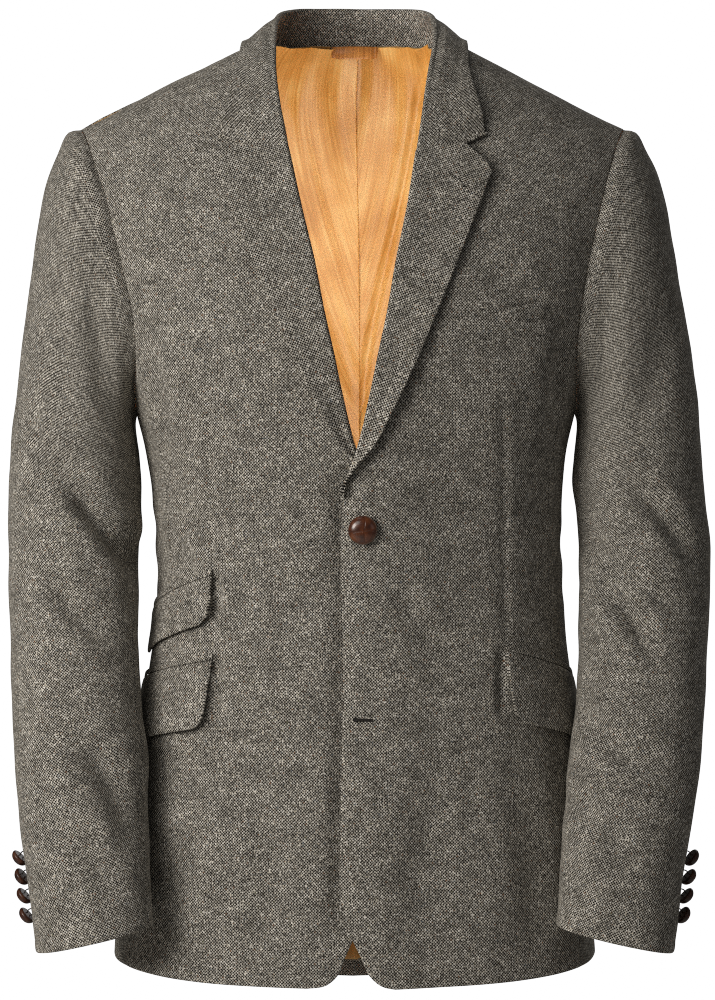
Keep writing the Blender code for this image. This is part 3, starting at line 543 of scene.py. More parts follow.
def distances(place):
    """How far round from centre front, and up from the chest line, each place lies along the cloth."""
    at = []
    for axis, knots in enumerate((FORM_TURNS, FORM_RISES)):
        index = np.interp(place[..., axis], knots, np.arange(len(knots)))
        at.append(np.clip(index, 0, len(knots) - 1.001))
    low_i, low_j = (index.astype(int) for index in at)
    part_i, part_j = at[0] - low_i, at[1] - low_j
    found = []
    for far in (FAR_ROUND, FAR_UP):
        low = far[low_i, low_j] * (1 - part_i) + far[low_i + 1, low_j] * part_i
        high = far[low_i, low_j + 1] * (1 - part_i) + far[low_i + 1, low_j + 1] * part_i
        found.append(low * (1 - part_j) + high * part_j)
    return np.stack(found, -1)


def grid_distances(grid):
    """Distances along a grid of points: from the first column, and from the first row."""
    across = np.linalg.norm(np.diff(grid, axis=1), axis=-1)
    up = np.linalg.norm(np.diff(grid, axis=0), axis=-1)
    first = np.concatenate([0 * across[:, :1], np.cumsum(across, 1)], 1)
    bottom = np.concatenate([0 * up[:1], np.cumsum(up, 0)])
    return first, bottom


def grid_weave(grid, tilt=0.0):
    """Weave lengths along a grid of points, from its middle column, turned by tilt."""
    first, bottom = grid_distances(grid)
    middle = first.shape[1] // 2
    u, v = first - first[:, middle : middle + 1], bottom[:, middle : middle + 1] + 0 * bottom
    return tilted(np.stack([u, v], -1), tilt)


def tilted(weave, tilt):
    u, v = weave[..., 0], weave[..., 1]
    return np.stack([u * cos(tilt) - v * sin(tilt), u * sin(tilt) + v * cos(tilt)], -1)


# ---- creases and soft hollows -------------------------------------------------------------------


def creases(x, z, rows):
    """Heights of soft creases, each a trough between two points with a low ridge on both sides."""
    total = np.zeros(np.shape(x))
    for x0, z0, x1, z1, width, depth, bow in rows:
        dx, dz = x1 - x0, z1 - z0
        length = hypot(dx, dz)
        t = ((x - x0) * dx + (z - z0) * dz) / length**2
        off = ((x - x0) * dz - (z - z0) * dx) / length - bow * 4 * t * (1 - t)
        fade = ease(t, -0.15, 0.35) * (1 - ease(t, 0.6, 1.15))
        d = (off / width) ** 2
        total -= depth * fade * (1 - 1.3 * d) * np.exp(-0.8 * d)
    return total


def unevenness(u, v, amount, seed):
    """Slow swells that keep any stretch of cloth from lying perfectly true."""
    random = np.random.default_rng(seed)
    u, v = np.broadcast_arrays(u, v)
    total = np.zeros(u.shape)
    for size in (0.150, 0.095, 0.060, 0.038):
        for _ in range(3):
            angle = random.uniform(0, pi)
            shift = random.uniform(0, 2 * pi)
            along_it = u * cos(angle) + v * sin(angle)
            total += size * np.sin(2 * pi * along_it / size + shift)
    return total * amount


def hump(distance, middle, width):
    """1 at the middle of a hump, falling away to 0 on both sides of it."""
    return np.exp(-(((distance - middle) / width) ** 2))


# ---- meshes -------------------------------------------------------------------------------------


def leaned(points):
    """The points moved sideways with the garment's lean."""
    across = smooth(points[..., 2], LEAN["z"], LEAN["across"])
    return points + np.stack([across, 0 * across, 0 * across], -1)


def normals_of(grid):
    return unit(np.cross(np.gradient(grid, axis=1), np.gradient(grid, axis=0)))


def edge_drop(distance, radius):
    """How much of its rounding an edge has at this distance, from 0 inside to nearly 1 at the rim."""
    t = np.clip(1 - distance / radius, 0, 1)
    return (1 - np.sqrt(1 - t * t)) * 0.94


def linked(name, data):
    """A new object with this data, in the scene."""
    made = bpy.data.objects.new(name, data)
    bpy.context.scene.collection.objects.link(made)
    return made


def mesh_piece(name, points, faces, finishes, slots=None, weave=None):
    mesh = bpy.data.meshes.new(name)
    faces = faces.tolist() if isinstance(faces, np.ndarray) else faces
    mesh.from_pydata(np.asarray(points).tolist(), [], faces)
    for finish in finishes:
        mesh.materials.append(finish)
    if slots is not None:
        mesh.polygons.foreach_set("material_index", np.asarray(slots, np.int32))
    if weave is not None:
        layer = mesh.uv_layers.new(name="Weave")
        corner = np.empty(len(mesh.loops), np.int32)
        mesh.loops.foreach_get("vertex_index", corner)
        layer.data.foreach_set("uv", np.asarray(weave, np.float32)[corner].ravel())
    mesh.shade_smooth()
    piece = linked(name, mesh)
    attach(piece, "root")
    return piece


def cloth(name, grid, finishes, height=0.0, thickness=TWEED, rounds=(0, 0, 0, 0), weave=None,
          lined_from=None, side=1, normals=None):
    """A shell of cloth on a grid of points. rounds are the radii of its first and last column and its
    bottom and top row, and lined_from the distances from them past which its inside is lined."""
    normals = normals_of(grid) if normals is None else normals
    first, bottom = grid_distances(grid)
    from_edges = (first, first[:, -1:] - first, bottom, bottom[-1:] - bottom)
    drop = np.zeros(first.shape)
    for distance, radius in zip(from_edges, rounds):
        if radius:
            drop = np.maximum(drop, edge_drop(distance, radius))
    thickness = np.broadcast_to(thickness, first.shape)
    outer = grid + normals * (height - drop * thickness / 2)[..., None]
    inner = grid + normals * (height - thickness * (1 - drop / 2))[..., None]
    weave = grid_weave(grid) if weave is None else weave
    lined = np.zeros(first.shape, bool)
    if lined_from is not None:
        lined = np.all([distance > start for distance, start in zip(from_edges, lined_from)], 0)
    if side < 0:
        outer, inner = (face[:, ::-1] * (-1, 1, 1) for face in (outer, inner))
        weave, lined = weave[:, ::-1] * (-1, 1) + 0.0371, lined[:, ::-1]
    rows, columns = first.shape
    index = np.arange(rows * columns).reshape(rows, columns)
    corners = (index[:-1, :-1], index[:-1, 1:], index[1:, 1:], index[1:, :-1])
    face = np.stack([corner.ravel() for corner in corners], -1)
    rim = np.concatenate([index[0], index[1:, -1], index[-1, -2::-1], index[-2:0:-1, 0]])
    after = np.roll(rim, -1)
    sides = np.stack([after, rim, rim + rows * columns, after + rows * columns], -1)
    faces = np.concatenate([face, face[:, ::-1] + rows * columns, sides])
    slots = np.zeros(len(faces), np.int32)
    slots[len(face) : 2 * len(face)] = lined[:-1, :-1].ravel()
    points = leaned(np.concatenate([outer.reshape(-1, 3), inner.reshape(-1, 3)]))
    weave = np.concatenate([weave.reshape(-1, 2)] * 2)
    return mesh_piece(name, points, faces, finishes, slots, weave)


def between_rings(rings, sides, closed=False):
    """Faces between rings of points, which are numbered round each ring in turn."""
    faces = []
    for k in range(rings if closed else rings - 1):
        low, high = k * sides, (k + 1) % rings * sides
        for s in range(sides):
            t = (s + 1) % sides
            faces.append((low + s, low + t, high + t, high + s))
    return faces


def tube(path, radius, sides=8, closed=False, flat=1.0, up=(0, 0, 1)):
    """Points and faces of a round cord along a path, flattened against up."""
    path = np.asarray(path, float)
    ahead = np.roll(path, -1, 0) - np.roll(path, 1, 0)
    if not closed:
        ahead = np.gradient(path, axis=0)
    ahead = unit(ahead)
    across = unit(np.cross(ahead, np.broadcast_to(up, ahead.shape)))
    rise = np.cross(across, ahead)
    angle = np.arange(sides) * 2 * pi / sides
    ring = across[:, None] * np.cos(angle)[None, :, None]
    ring = ring + rise[:, None] * np.sin(angle)[None, :, None] * flat
    radius = np.broadcast_to(radius, len(path))[:, None, None]
    points = (path[:, None] + ring * radius).reshape(-1, 3)
    faces = between_rings(len(path), sides, closed)
    if not closed:
        faces += [tuple(range(sides))[::-1], tuple(range(len(points) - sides, len(points)))]
    return points, faces


# ---- sleeve -------------------------------------------------------------------------------------


def sleeve(turns, ring):
    """Points of the sleeve at these turns from its outer side forwards, and this ring down the arm."""
    turns, ring = np.broadcast_arrays(np.asarray(turns, float), np.asarray(ring, float))
    rows = np.arange(SLEEVE_RINGS + 1.0)
    at = {name: smooth(ring, rows, values) for name, values in SLEEVE.items()}
    angle = 2 * pi * turns
    across = np.cos(angle) - SLEEVE_SQUARENESS * np.cos(3 * angle)
    forward = np.sin(angle) + SLEEVE_SQUARENESS * np.sin(3 * angle)
    outwards = (1 + across / (1 - SLEEVE_SQUARENESS)) / 2
    x = at["inner_x"] + (at["outer_x"] - at["inner_x"]) * outwards
    z = at["inner_z"] + (at["outer_z"] - at["inner_z"]) * outwards
    return np.stack([x, at["middle_y"] - at["depth"] * forward, z], -1)


def sleeve_point(turns, ring):
    """Sleeve points that start from the armhole's own shape and take the sleeve's below the cap."""
    turns, ring = np.broadcast_arrays(np.asarray(turns, float), np.asarray(ring, float))
    own = raised(armhole(turns % 1), ARMHOLE_GAP) - sleeve(turns, np.zeros_like(ring))
    keep = np.clip(1 - ring / CAP_RINGS, 0, 1) ** 2
    return sleeve(turns, ring) + own * keep[..., None]


def sleeve_normal(turns, ring):
    """The sleeve's outward normal."""
    nudge = 1e-3
    low = np.clip(ring, nudge, SLEEVE_RINGS - nudge)
    along_arm = sleeve_point(turns, low + nudge) - sleeve_point(turns, low - nudge)
    round_arm = sleeve_point(turns + nudge, ring) - sleeve_point(turns - nudge, ring)
    return unit(np.cross(round_arm, along_arm))


def away_from_neck(points, slope):
    """Directions from the middle of the neck, rising by slope."""
    away = points - (0, NECK_MIDDLE_Y, 0)
    away[..., 2] = np.linalg.norm(away[..., :2], axis=-1) * slope
    return unit(away)


def distance_round(z):
    """Turns round the form and the distance along the cloth from centre front at this height."""
    turns = spaced(0, pi, 400)
    return turns, lengths(form(np.stack([turns, np.full_like(turns, z - CHEST_Z)], -1)))


# ---- materials ----------------------------------------------------------------------------------


def colour(code):
    """An sRGB hex colour as linear light."""
    srgb = [int(code[k : k + 2], 16) / 255 for k in (0, 2, 4)]
    return (*[c / 12.92 if c <= 0.04045 else ((c + 0.055) / 1.055) ** 2.4 for c in srgb], 1)


def add(tree, kind, inputs=(), out=0, **settings):
    """A new node's output; inputs gives a socket, by name or number, a value or another node's output."""
    node = tree.nodes.new("ShaderNode" + kind)
    for name, value in settings.items():
        setattr(node, name, value)
    for key, value in dict(inputs).items():
        if isinstance(value, bpy.types.NodeSocket):
            tree.links.new(value, node.inputs[key])
        else:
            node.inputs[key].default_value = value
    return node.outputs[out]


def new_material(name, **values):
    """A material with its Principled shader, whose sockets take these values."""
    made = bpy.data.materials.new(name)
    made.use_nodes = True
    shader = made.node_tree.nodes["Principled BSDF"]
    for key, value in values.items():
        shader.inputs[key.replace("_", " ")].default_value = value
    return made, made.node_tree, shader


def stops(output, *rows, step=False):
    """Sets a ramp's stops, each a place and a colour, and gives back its output."""
    ramp = output.node.color_ramp
    ramp.interpolation = "CONSTANT" if step else "LINEAR"
    while len(ramp.elements) < len(rows):
        ramp.elements.new(0.5)
    for element, (place, code) in zip(ramp.elements, rows):
        element.position = place
        element.color = colour(code)
    return output


YARN = 0.00122  # one yarn of the weave, drawn a little wider than the cloth's 1.15 mm so that it shows
FLECK = 0.0021  # spacing of the coloured slubs
CLOUD = 0.017
WANDER = 0.0004  # how far the yarns stray from straight
SLUB_DYES = (
    (0.0, "EFE9DC"), (0.24, "CFC6B4"), (0.40, "12100F"), (0.58, "7E5A40"), (0.64, "6C747A"),
    (0.70, "6F6F56"), (0.76, "2A2622"), (0.86, "F8F4EC"),
)


def donegal_tweed():
    """Woollen tweed, plain woven from one light and one dark marled yarn: a small pepper-and-salt check,
    with slubs of white, rust, moss and slate, a dull nap and a faint sheen where it turns away."""
    made, tree, shader = new_material("donegal_tweed", Roughness=0.92, IOR=1.5, Sheen_Weight=0.22,
                                      Sheen_Roughness=0.45, Specular_IOR_Level=0.18,
                                      Sheen_Tint=colour("D8D0C2"))
    place = add(tree, "UVMap", uv_map="Weave")
    wander = add(tree, "TexNoise", {"Vector": place, "Scale": 1 / 0.009, "Detail": 1.0}, out=1,
                 noise_dimensions="2D")
    shift = add(tree, "VectorMath", {0: wander, 1: (0.5, 0.5, 0.5)}, operation="SUBTRACT")
    shift = add(tree, "VectorMath", {0: shift, "Scale": WANDER}, operation="SCALE")
    bent_place = add(tree, "VectorMath", {0: place, 1: shift}, operation="ADD")
    yarns = add(tree, "VectorMath", {0: bent_place, "Scale": 1 / YARN}, operation="SCALE")
    split = add(tree, "SeparateXYZ", {0: yarns}).node
    waves = []
    for axis in (0, 1):
        turn = add(tree, "Math", {0: split.outputs[axis], 1: pi}, operation="MULTIPLY")
        waves.append(add(tree, "Math", {0: turn}, operation="SINE"))
    check = add(tree, "Math", {0: waves[0], 1: waves[1]}, operation="MULTIPLY")

    # Each yarn has its own shade, which drifts along it: long noise cells across and along the cloth
    shades = []
    for stretch in ((1, 0.35, 1), (0.35, 1, 1)):
        long_way = add(tree, "VectorMath", {0: yarns, 1: stretch}, operation="MULTIPLY")
        shades.append(add(tree, "TexNoise", {"Vector": long_way, "Scale": 0.9, "Detail": 2.0,
                                             "Roughness": 0.6}, noise_dimensions="2D"))
    fibre = add(tree, "TexNoise", {"Vector": place, "Scale": 1 / 0.0011, "Detail": 3.0, "Roughness": 0.7},
                noise_dimensions="2D")
    grain = add(tree, "Math", {0: fibre, 1: 0.5}, operation="SUBTRACT")
    grain = add(tree, "Math", {0: grain, 1: 0.50}, operation="MULTIPLY")
    lifted = add(tree, "Math", {0: check, 1: grain}, operation="ADD")
    light_yarn = add(tree, "MapRange", {0: lifted, 1: -0.25, 2: 0.25}, interpolation_type="SMOOTHSTEP")
    light_tone = stops(add(tree, "ValToRGB", {0: shades[0]}), (0.30, "827E77"), (0.50, "B4AFA4"),
                       (0.68, "F2EEE5"))
    dark_tone = stops(add(tree, "ValToRGB", {0: shades[1]}), (0.30, "10100F"), (0.52, "211E1C"),
                      (0.70, "3A3530"))
    cloth_tone = add(tree, "Mix", {0: light_yarn, 6: dark_tone, 7: light_tone}, out=2, data_type="RGBA")

    # Slubs: short thick flecks spun into the yarn, some pale, some dyed
    for size, share, seed in ((FLECK, 0.34, (0, 0, 0)), (FLECK * 0.62, 0.30, (5.3, 2.1, 0))):
        moved = add(tree, "VectorMath", {0: bent_place, 1: seed}, operation="ADD")
        cells = add(tree, "TexVoronoi", {"Vector": moved, "Scale": 1 / size, "Randomness": 1.0},
                    voronoi_dimensions="2D").node
        choice = add(tree, "SeparateColor", {0: cells.outputs["Color"]}).node
        rough_edge = add(tree, "Math", {0: grain, 1: 0.12, 2: cells.outputs["Distance"]},
                         operation="MULTIPLY_ADD")
        reach = add(tree, "MapRange", {0: choice.outputs[1], 1: 0.0, 2: 1.0, 3: 0.06, 4: share})
        inside = add(tree, "Math", {0: rough_edge, 1: reach}, operation="LESS_THAN")
        dye = stops(add(tree, "ValToRGB", {0: choice.outputs[0]}), *SLUB_DYES, step=True)
        some = add(tree, "Math", {0: choice.outputs[2], 1: 0.62}, operation="LESS_THAN")
        share_of = add(tree, "Math", {0: inside, 1: some}, operation="MULTIPLY")
        share_of = add(tree, "Math", {0: share_of, 1: 0.85}, operation="MULTIPLY")
        cloth_tone = add(tree, "Mix", {0: share_of, 6: cloth_tone, 7: dye}, out=2, data_type="RGBA")

    # Uneven spinning and milling leave soft lighter and darker patches
    cloud = add(tree, "TexNoise", {"Vector": place, "Scale": 1 / CLOUD, "Detail": 5.0, "Roughness": 0.70},
                noise_dimensions="2D")
    patchy = add(tree, "MapRange", {0: cloud, 1: 0.25, 2: 0.75, 3: 0.60, 4: 1.26})
    tone = add(tree, "VectorMath", {0: cloth_tone, "Scale": patchy}, operation="SCALE")
    tree.links.new(tone, shader.inputs["Base Color"])
    nap = add(tree, "Math", {0: check, 1: 0.30, 2: fibre}, operation="MULTIPLY_ADD")
    bump = add(tree, "Bump", {"Height": nap, "Strength": 0.40, "Distance": 0.0004})
    tree.links.new(bump, shader.inputs["Normal"])
    return made


def lining_satin(name, light, mid, deep):
    """Viscose satin lining, woven with a long smooth float: a silky gloss that runs across the ripples,
    with faint streaks along the warp and soft creases from the press."""
    made, tree, shader = new_material(name, Roughness=0.38, IOR=1.48, Sheen_Weight=0.25,
                                      Sheen_Roughness=0.35, Sheen_Tint=colour("F4CE8C"),
                                      Anisotropic=0.45)
    place = add(tree, "UVMap", uv_map="Weave")
    long_way = add(tree, "VectorMath", {0: place, 1: (1 / 0.0022, 1 / 0.07, 1)}, operation="MULTIPLY")
    streak = add(tree, "TexNoise", {"Vector": long_way, "Scale": 1.0, "Detail": 3.0}, noise_dimensions="2D")
    broad = add(tree, "TexNoise", {"Vector": place, "Scale": 1 / 0.05, "Detail": 2.0}, noise_dimensions="2D")
    both = add(tree, "Mix", {0: 0.45, 2: broad, 3: streak}, data_type="FLOAT")
    tone = stops(add(tree, "ValToRGB", {0: both}), (0.34, deep), (0.50, mid), (0.66, light))
    tree.links.new(tone, shader.inputs["Base Color"])
    press = add(tree, "TexNoise", {"Vector": place, "Scale": 1 / 0.012, "Detail": 3.0, "Distortion": 0.6},
                noise_dimensions="2D")
    bump = add(tree, "Bump", {"Height": press, "Strength": 0.20, "Distance": 0.0008})
    fine = add(tree, "Bump", {"Height": streak, "Strength": 0.05, "Distance": 0.0002, "Normal": bump})
    tree.links.new(fine, shader.inputs["Normal"])
    return made


def button_leather(name, dark, mid, light, wax):
    """Calf leather, plaited over a core and polished: deep chestnut, with painted shade darkening its seams
    and other hollows, and a fine pore grain under a clear wax gloss."""
    made, tree, shader = new_material(name, Roughness=0.45 - 0.15 * wax, IOR=1.5, Coat_Weight=wax,
                                      Coat_Roughness=0.20)
    place = add(tree, "TexCoord", out=3)
    broad = add(tree, "TexNoise", {"Vector": place, "Scale": 1 / 0.006, "Detail": 4.0})
    tone = stops(add(tree, "ValToRGB", {0: broad}), (0.35, dark), (0.52, mid), (0.70, light))
    # Painted shade: a near-black brown is mixed in wherever the surface is hollow, as in the seams between
    # the strips
    pointiness = add(tree, "NewGeometry", out=7)
    edge = add(tree, "MapRange", {0: pointiness, 1: 0.42, 2: 0.50, 3: 0.0, 4: 1.0})
    tone = add(tree, "Mix", {0: edge, 6: colour("1C0A06"), 7: tone}, out=2, data_type="RGBA")
    tree.links.new(tone, shader.inputs["Base Color"])
    pores = add(tree, "TexVoronoi", {"Vector": place, "Scale": 1 / 0.00055}, feature="F1")
    bump = add(tree, "Bump", {"Height": pores, "Strength": 0.18, "Distance": 0.0001})
    tree.links.new(bump, shader.inputs["Normal"])
    return made


def buttonhole_twist(name, code):
    """Waxed linen twist, wrapped close round an edge: ribbed along the cord, with a dull shine."""
    made, tree, shader = new_material(name, Roughness=0.6, IOR=1.5)
    place = add(tree, "TexCoord", out=3)
    ribs = add(tree, "TexNoise", {"Vector": place, "Scale": 1 / 0.0006, "Detail": 2.0})
    tone = add(tree, "Mix", {0: ribs, 6: colour("0E0C0A"), 7: colour(code)}, out=2, data_type="RGBA")
    tree.links.new(tone, shader.inputs["Base Color"])
    bump = add(tree, "Bump", {"Height": ribs, "Strength": 0.6, "Distance": 0.0003})
    tree.links.new(bump, shader.inputs["Normal"])
    return made


def seamless_floor():
    """Painted studio floor, matt and nearly white, with the faint cloudiness of a rolled coat."""
    made, tree, shader = new_material("matt_floor_paint", Roughness=0.85)
    place = add(tree, "TexCoord", out=3)
    cloud = add(tree, "TexNoise", {"Vector": place, "Scale": 3.0, "Detail": 3.0})
    tone = stops(add(tree, "ValToRGB", {0: cloud}), (0.3, "D6D5D2"), (0.7, "DEDDDA"))
    tree.links.new(tone, shader.inputs["Base Color"])
    return made


# ---- creases of this jacket ---------------------------------------------------------------------
# Each row: from x, z to x, z on its own side, then width, depth and bow

FRONT_CREASES_LEFT = (
    (0.020, -0.385, 0.085, -0.470, 0.016, 0.0014, 0.010),
    (0.030, -0.345, 0.130, -0.372, 0.018, 0.0012, -0.008),
    (0.172, -0.190, 0.168, -0.320, 0.014, 0.0028, 0.004),
    (0.060, -0.560, 0.052, -0.700, 0.024, 0.0016, 0.004),
    (0.130, -0.560, 0.142, -0.705, 0.020, 0.0018, -0.006),
    (0.090, -0.120, 0.150, -0.190, 0.022, 0.0010, 0.008),
)
FRONT_CREASES_RIGHT = (
    (0.010, -0.372, 0.070, -0.445, 0.015, 0.0012, 0.008),
    (0.040, -0.350, 0.140, -0.365, 0.016, 0.0014, -0.010),
    (0.170, -0.200, 0.163, -0.330, 0.015, 0.0024, 0.004),
    (0.070, -0.580, 0.060, -0.705, 0.022, 0.0014, -0.004),
    (0.148, -0.600, 0.156, -0.700, 0.018, 0.0016, 0.004),
    (0.105, -0.110, 0.155, -0.170, 0.020, 0.0009, -0.006),
)
BACK_CREASES = (
    (0.165, -0.060, 0.130, -0.230, 0.018, 0.0030, 0.006),
    (0.120, -0.040, 0.090, -0.160, 0.024, 0.0014, -0.008),
    (0.030, -0.360, 0.150, -0.345, 0.014, 0.0018, 0.008),
    (0.020, -0.400, 0.110, -0.412, 0.012, 0.0014, -0.006),
    (0.090, -0.470, 0.100, -0.690, 0.026, 0.0022, 0.006),
    (0.045, -0.520, 0.040, -0.700, 0.022, 0.0014, -0.004),
)
SIDE_CREASES = (  # distance round from centre front, then height
    (0.210, -0.365, 0.290, -0.350, 0.012, 0.0016, 0.004),
    (0.215, -0.400, 0.285, -0.412, 0.011, 0.0014, -0.004),
    (0.240, -0.480, 0.250, -0.680, 0.020, 0.0016, 0.004),
)
SLEEVE_CREASES_RIGHT = (
    (0.238, -0.322, 0.172, -0.405, 0.013, 0.0042, 0.006),
    (0.262, -0.300, 0.196, -0.345, 0.014, 0.0018, 0.006),
    (0.245, -0.400, 0.185, -0.452, 0.014, 0.0022, -0.006),
    (0.225, -0.520, 0.170, -0.600, 0.018, 0.0030, 0.008),
    (0.235, -0.590, 0.185, -0.640, 0.014, 0.0016, 0.004),
    (0.205, -0.150, 0.196, -0.270, 0.016, 0.0022, -0.005),
    (0.240, -0.170, 0.225, -0.260, 0.018, 0.0010, 0.004),
)
SLEEVE_CREASES_LEFT = (
    (0.205, -0.312, 0.268, -0.384, 0.013, 0.0026, -0.006),
    (0.190, -0.400, 0.232, -0.458, 0.012, 0.0034, -0.005),
    (0.180, -0.360, 0.250, -0.420, 0.013, 0.0020, 0.006),
    (0.175, -0.500, 0.240, -0.548, 0.015, 0.0022, 0.006),
    (0.168, -0.570, 0.215, -0.620, 0.014, 0.0018, -0.004),
    (0.200, -0.140, 0.196, -0.265, 0.016, 0.0020, 0.005),
    (0.245, -0.180, 0.230, -0.270, 0.018, 0.0010, -0.004),
)
SLEEVE_CREASES_BACK = (
    (0.185, -0.240, 0.250, -0.330, 0.014, 0.0024, 0.008),
    (0.270, -0.330, 0.200, -0.400, 0.013, 0.0030, -0.006),
    (0.262, -0.400, 0.190, -0.455, 0.014, 0.0022, 0.006),
    (0.235, -0.500, 0.180, -0.560, 0.015, 0.0018, -0.004),
    (0.205, -0.110, 0.190, -0.200, 0.016, 0.0018, 0.004),
)
UNDER_EDGE_DEPTH = 0.0056
UNDER_EDGE_REACH = 0.0140
UNDER_EDGE_X = 0.0138  # where the right front dips beside the edge of the left one
DART = ((0.1160, -0.250), (0.1160, -0.455))
DART_DEPTH = 0.0013
DART_RIDGE = 0.0006
TROUGH_DEPTH = 0.0042
TROUGH_OFFSET = 0.0030
TROUGH_WIDTH = 0.0036
WELT_GROOVE = 0.0024
LEFT_EDGE_DEPTH = 0.0028
LEFT_EDGE_REACH = 0.009
HEM_RISE = 0.0004
FACING_WIDTH = 0.065
HEM_WIDTH = 0.030
WEAVE_SHIFT = (0.0113, 0.0042)  # the same on the foreparts and their pockets, so that the weave matches


def sewn(nodes):
    """Hides the solids that a piece of cloth replaces."""
    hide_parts(*nodes)


def seam_fade(grid, sides):
    """0 at the seams of a piece and 1 a few centimetres in; sides says if first, last and top are seams."""
    first, bottom = grid_distances(grid)
    distances_in = (first, first[:, -1:] - first, bottom[-1:] - bottom)
    return np.prod([ease(d, 0.0, 0.035) for d, seam in zip(distances_in, sides) if seam], 0)


def swell(places, side):
    """The slow unevenness of the body cloth, the same on both sides of a seam."""
    far = distances(places)
    return unevenness(far[..., 0], far[..., 1], 0.0020, 31 + side)


def pocket_trough(x, z, pocket):
    """The hollow of the cloth just in front of a flap, from its lower corner up to the mouth."""
    low = pocket["z"] - pocket["drop"]
    beside = hump(x - pocket["x"] + TROUGH_OFFSET, 0.0, TROUGH_WIDTH)
    reach = ease(z, low, low + 0.012) * (1 - ease(z, pocket["z"] - 0.004, pocket["z"] + 0.002))
    return TROUGH_DEPTH * beside * reach


def front_relief(places, points, edge_distance, hem_distance, rows, side):
    """Relief of a forepart: creases, waist dart, troughs beside the pockets and a dip at the front edge."""
    x, z = points[..., 0], points[..., 2]
    (dart_x, dart_top), (_, dart_end) = DART
    dart = ease(z, dart_end, dart_end + 0.02) * (1 - ease(z, dart_top - 0.02, dart_top))
    height = 1.9 * creases(x, z, rows) * seam_fade(points, (False, True, True)) + swell(places, side)
    height -= DART_DEPTH * hump(x - dart_x, 0.0, 0.0030) * dart
    for pocket in (HIP_LEFT,) if side > 0 else (HIP_RIGHT, TICKET):
        height -= pocket_trough(x, z, pocket)
    if side > 0:
        (x0, z0), (x1, z1) = WELT
        t = (x - x0) / (x1 - x0)
        above = z - (z0 + (z1 - z0) * t) - 0.0006
        height -= WELT_GROOVE * hump(above, 0.0, 0.0013) * ease(t, 0.35, 0.95) * (1 - ease(t, 0.99, 1.02))
    height += DART_RIDGE * hump(x - dart_x - 0.007, 0.0, 0.0050) * dart
    free_edge = (1 - ease(z, -0.33, -0.30)) * ease(z, -0.715, -0.65)
    if side > 0:
        height -= LEFT_EDGE_DEPTH * (1 - ease(edge_distance, 0.0, LEFT_EDGE_REACH)) * free_edge
    else:
        from_edge = np.clip((x - UNDER_EDGE_X) / UNDER_EDGE_REACH, 0, 1)
        height -= UNDER_EDGE_DEPTH * (1 - from_edge) ** 1.6 * free_edge
    height += HEM_RISE * (1 - ease(hem_distance, 0.004, 0.009))
    return height


def build_fronts(finishes):
    for (side, name), edge, rows in zip(SIDES, (LEFT_FRONT_EDGE, RIGHT_FRONT_EDGE),
                                        (FRONT_CREASES_LEFT, FRONT_CREASES_RIGHT)):
        places = forepart(edge)
        places[-1, :, 1] += SEAM_GAP  # sewn shut along the shoulder
        points = on_front(places, 0.0, side > 0)
        first, bottom = grid_distances(points)
        height = front_relief(places, points, first, bottom, rows, side)
        weave = distances(places) + WEAVE_SHIFT
        piece = cloth("forepart_" + name, points, finishes, height, TWEED,
                      (EDGE_ROUND, SEAM_ROUND, EDGE_ROUND, SEAM_ROUND), weave,
                      (FACING_WIDTH, 0.0, HEM_WIDTH, 0.0), side)
        sewn(["front_" + name])


def build_sides_and_backs(finishes):
    for name, places, rows in (("side", side_panel(), SIDE_CREASES), ("back", back_grid(), BACK_CREASES)):
        is_back = name == "back"
        if is_back:
            places[:, -1, 0] = pi - CENTRE_BACK_GAP
        points = raised(places, 0.0)
        u, z = distances(places)[..., 0], points[..., 2]
        last_round = SEAM_ROUND * (1.5 if is_back else 1)
        for side, label in SIDES:
            across = np.abs(points[..., 0]) + 0.006 * (side < 0) if is_back else u
            height = creases(across, z + 0.007 * side, rows) * seam_fade(points, (True, True, True))
            height += swell(places, side) * (1 - ease(u, 0.9 * u.max(), u.max()) * is_back)
            piece = cloth(f"{name}_panel_{label}", points, finishes, height, TWEED,
                          (SEAM_ROUND, last_round, EDGE_ROUND, SEAM_ROUND),
                          distances(places) + (0.0271 * side, 0.0063), (0.0, 0.0, 0.024, 0.0), side)
            sewn([f"{name}_{label}"])


# ---- sleeves ------------------------------------------------------------------------------------

TOP_ACROSS = graded(84, SIDE_EDGE, SIDE_EDGE)
UNDER_ACROSS = graded(48, SIDE_EDGE, SIDE_EDGE)
SLEEVE_TOP_EDGE = (0.0004, 0.0011, 0.0022, 0.0038, 0.0060, 0.0090)
SEAM_TURNED_IN = (0.0048, 0.0036, 0.0024, 0.0014, 0.0006)  # the turning, inside the body
CUFF_ROUND = 0.0026
CUFF_HEM_WIDTH = 0.028
HEAD_RIDGE = 0.0016
PUCKER = 0.00035
PUCKERS = 31


def sleeve_rings():
    """Rings down the sleeve, close together at the armhole and the cuff and at even distances between."""
    fine = np.linspace(0, SLEEVE_RINGS, 600)
    length = lengths(sleeve_point(0.0, fine))
    fractions = graded(170, SLEEVE_TOP_EDGE, LONG_EDGE)
    return np.interp(fractions * length[-1], length, fine)


def sleeve_head(turns, from_top):
    """The rise of the sleeve's head just outside the armhole, eased in with fine puckers."""
    head = ease(turns, 0.01, 0.09) * (1 - ease(turns, 0.25, 0.34))
    head = head + 0.7 * ease(-turns, 0.01, 0.09) * (1 - ease(-turns, 0.2, 0.32))
    wave = np.sin(turns * 2 * pi * PUCKERS + 1.3 * np.sin(turns * 40))
    pucker = PUCKER * wave * hump(from_top, 0.008, 0.008)
    return HEAD_RIDGE * hump(from_top, 0.0065, 0.0055) * head + pucker * head


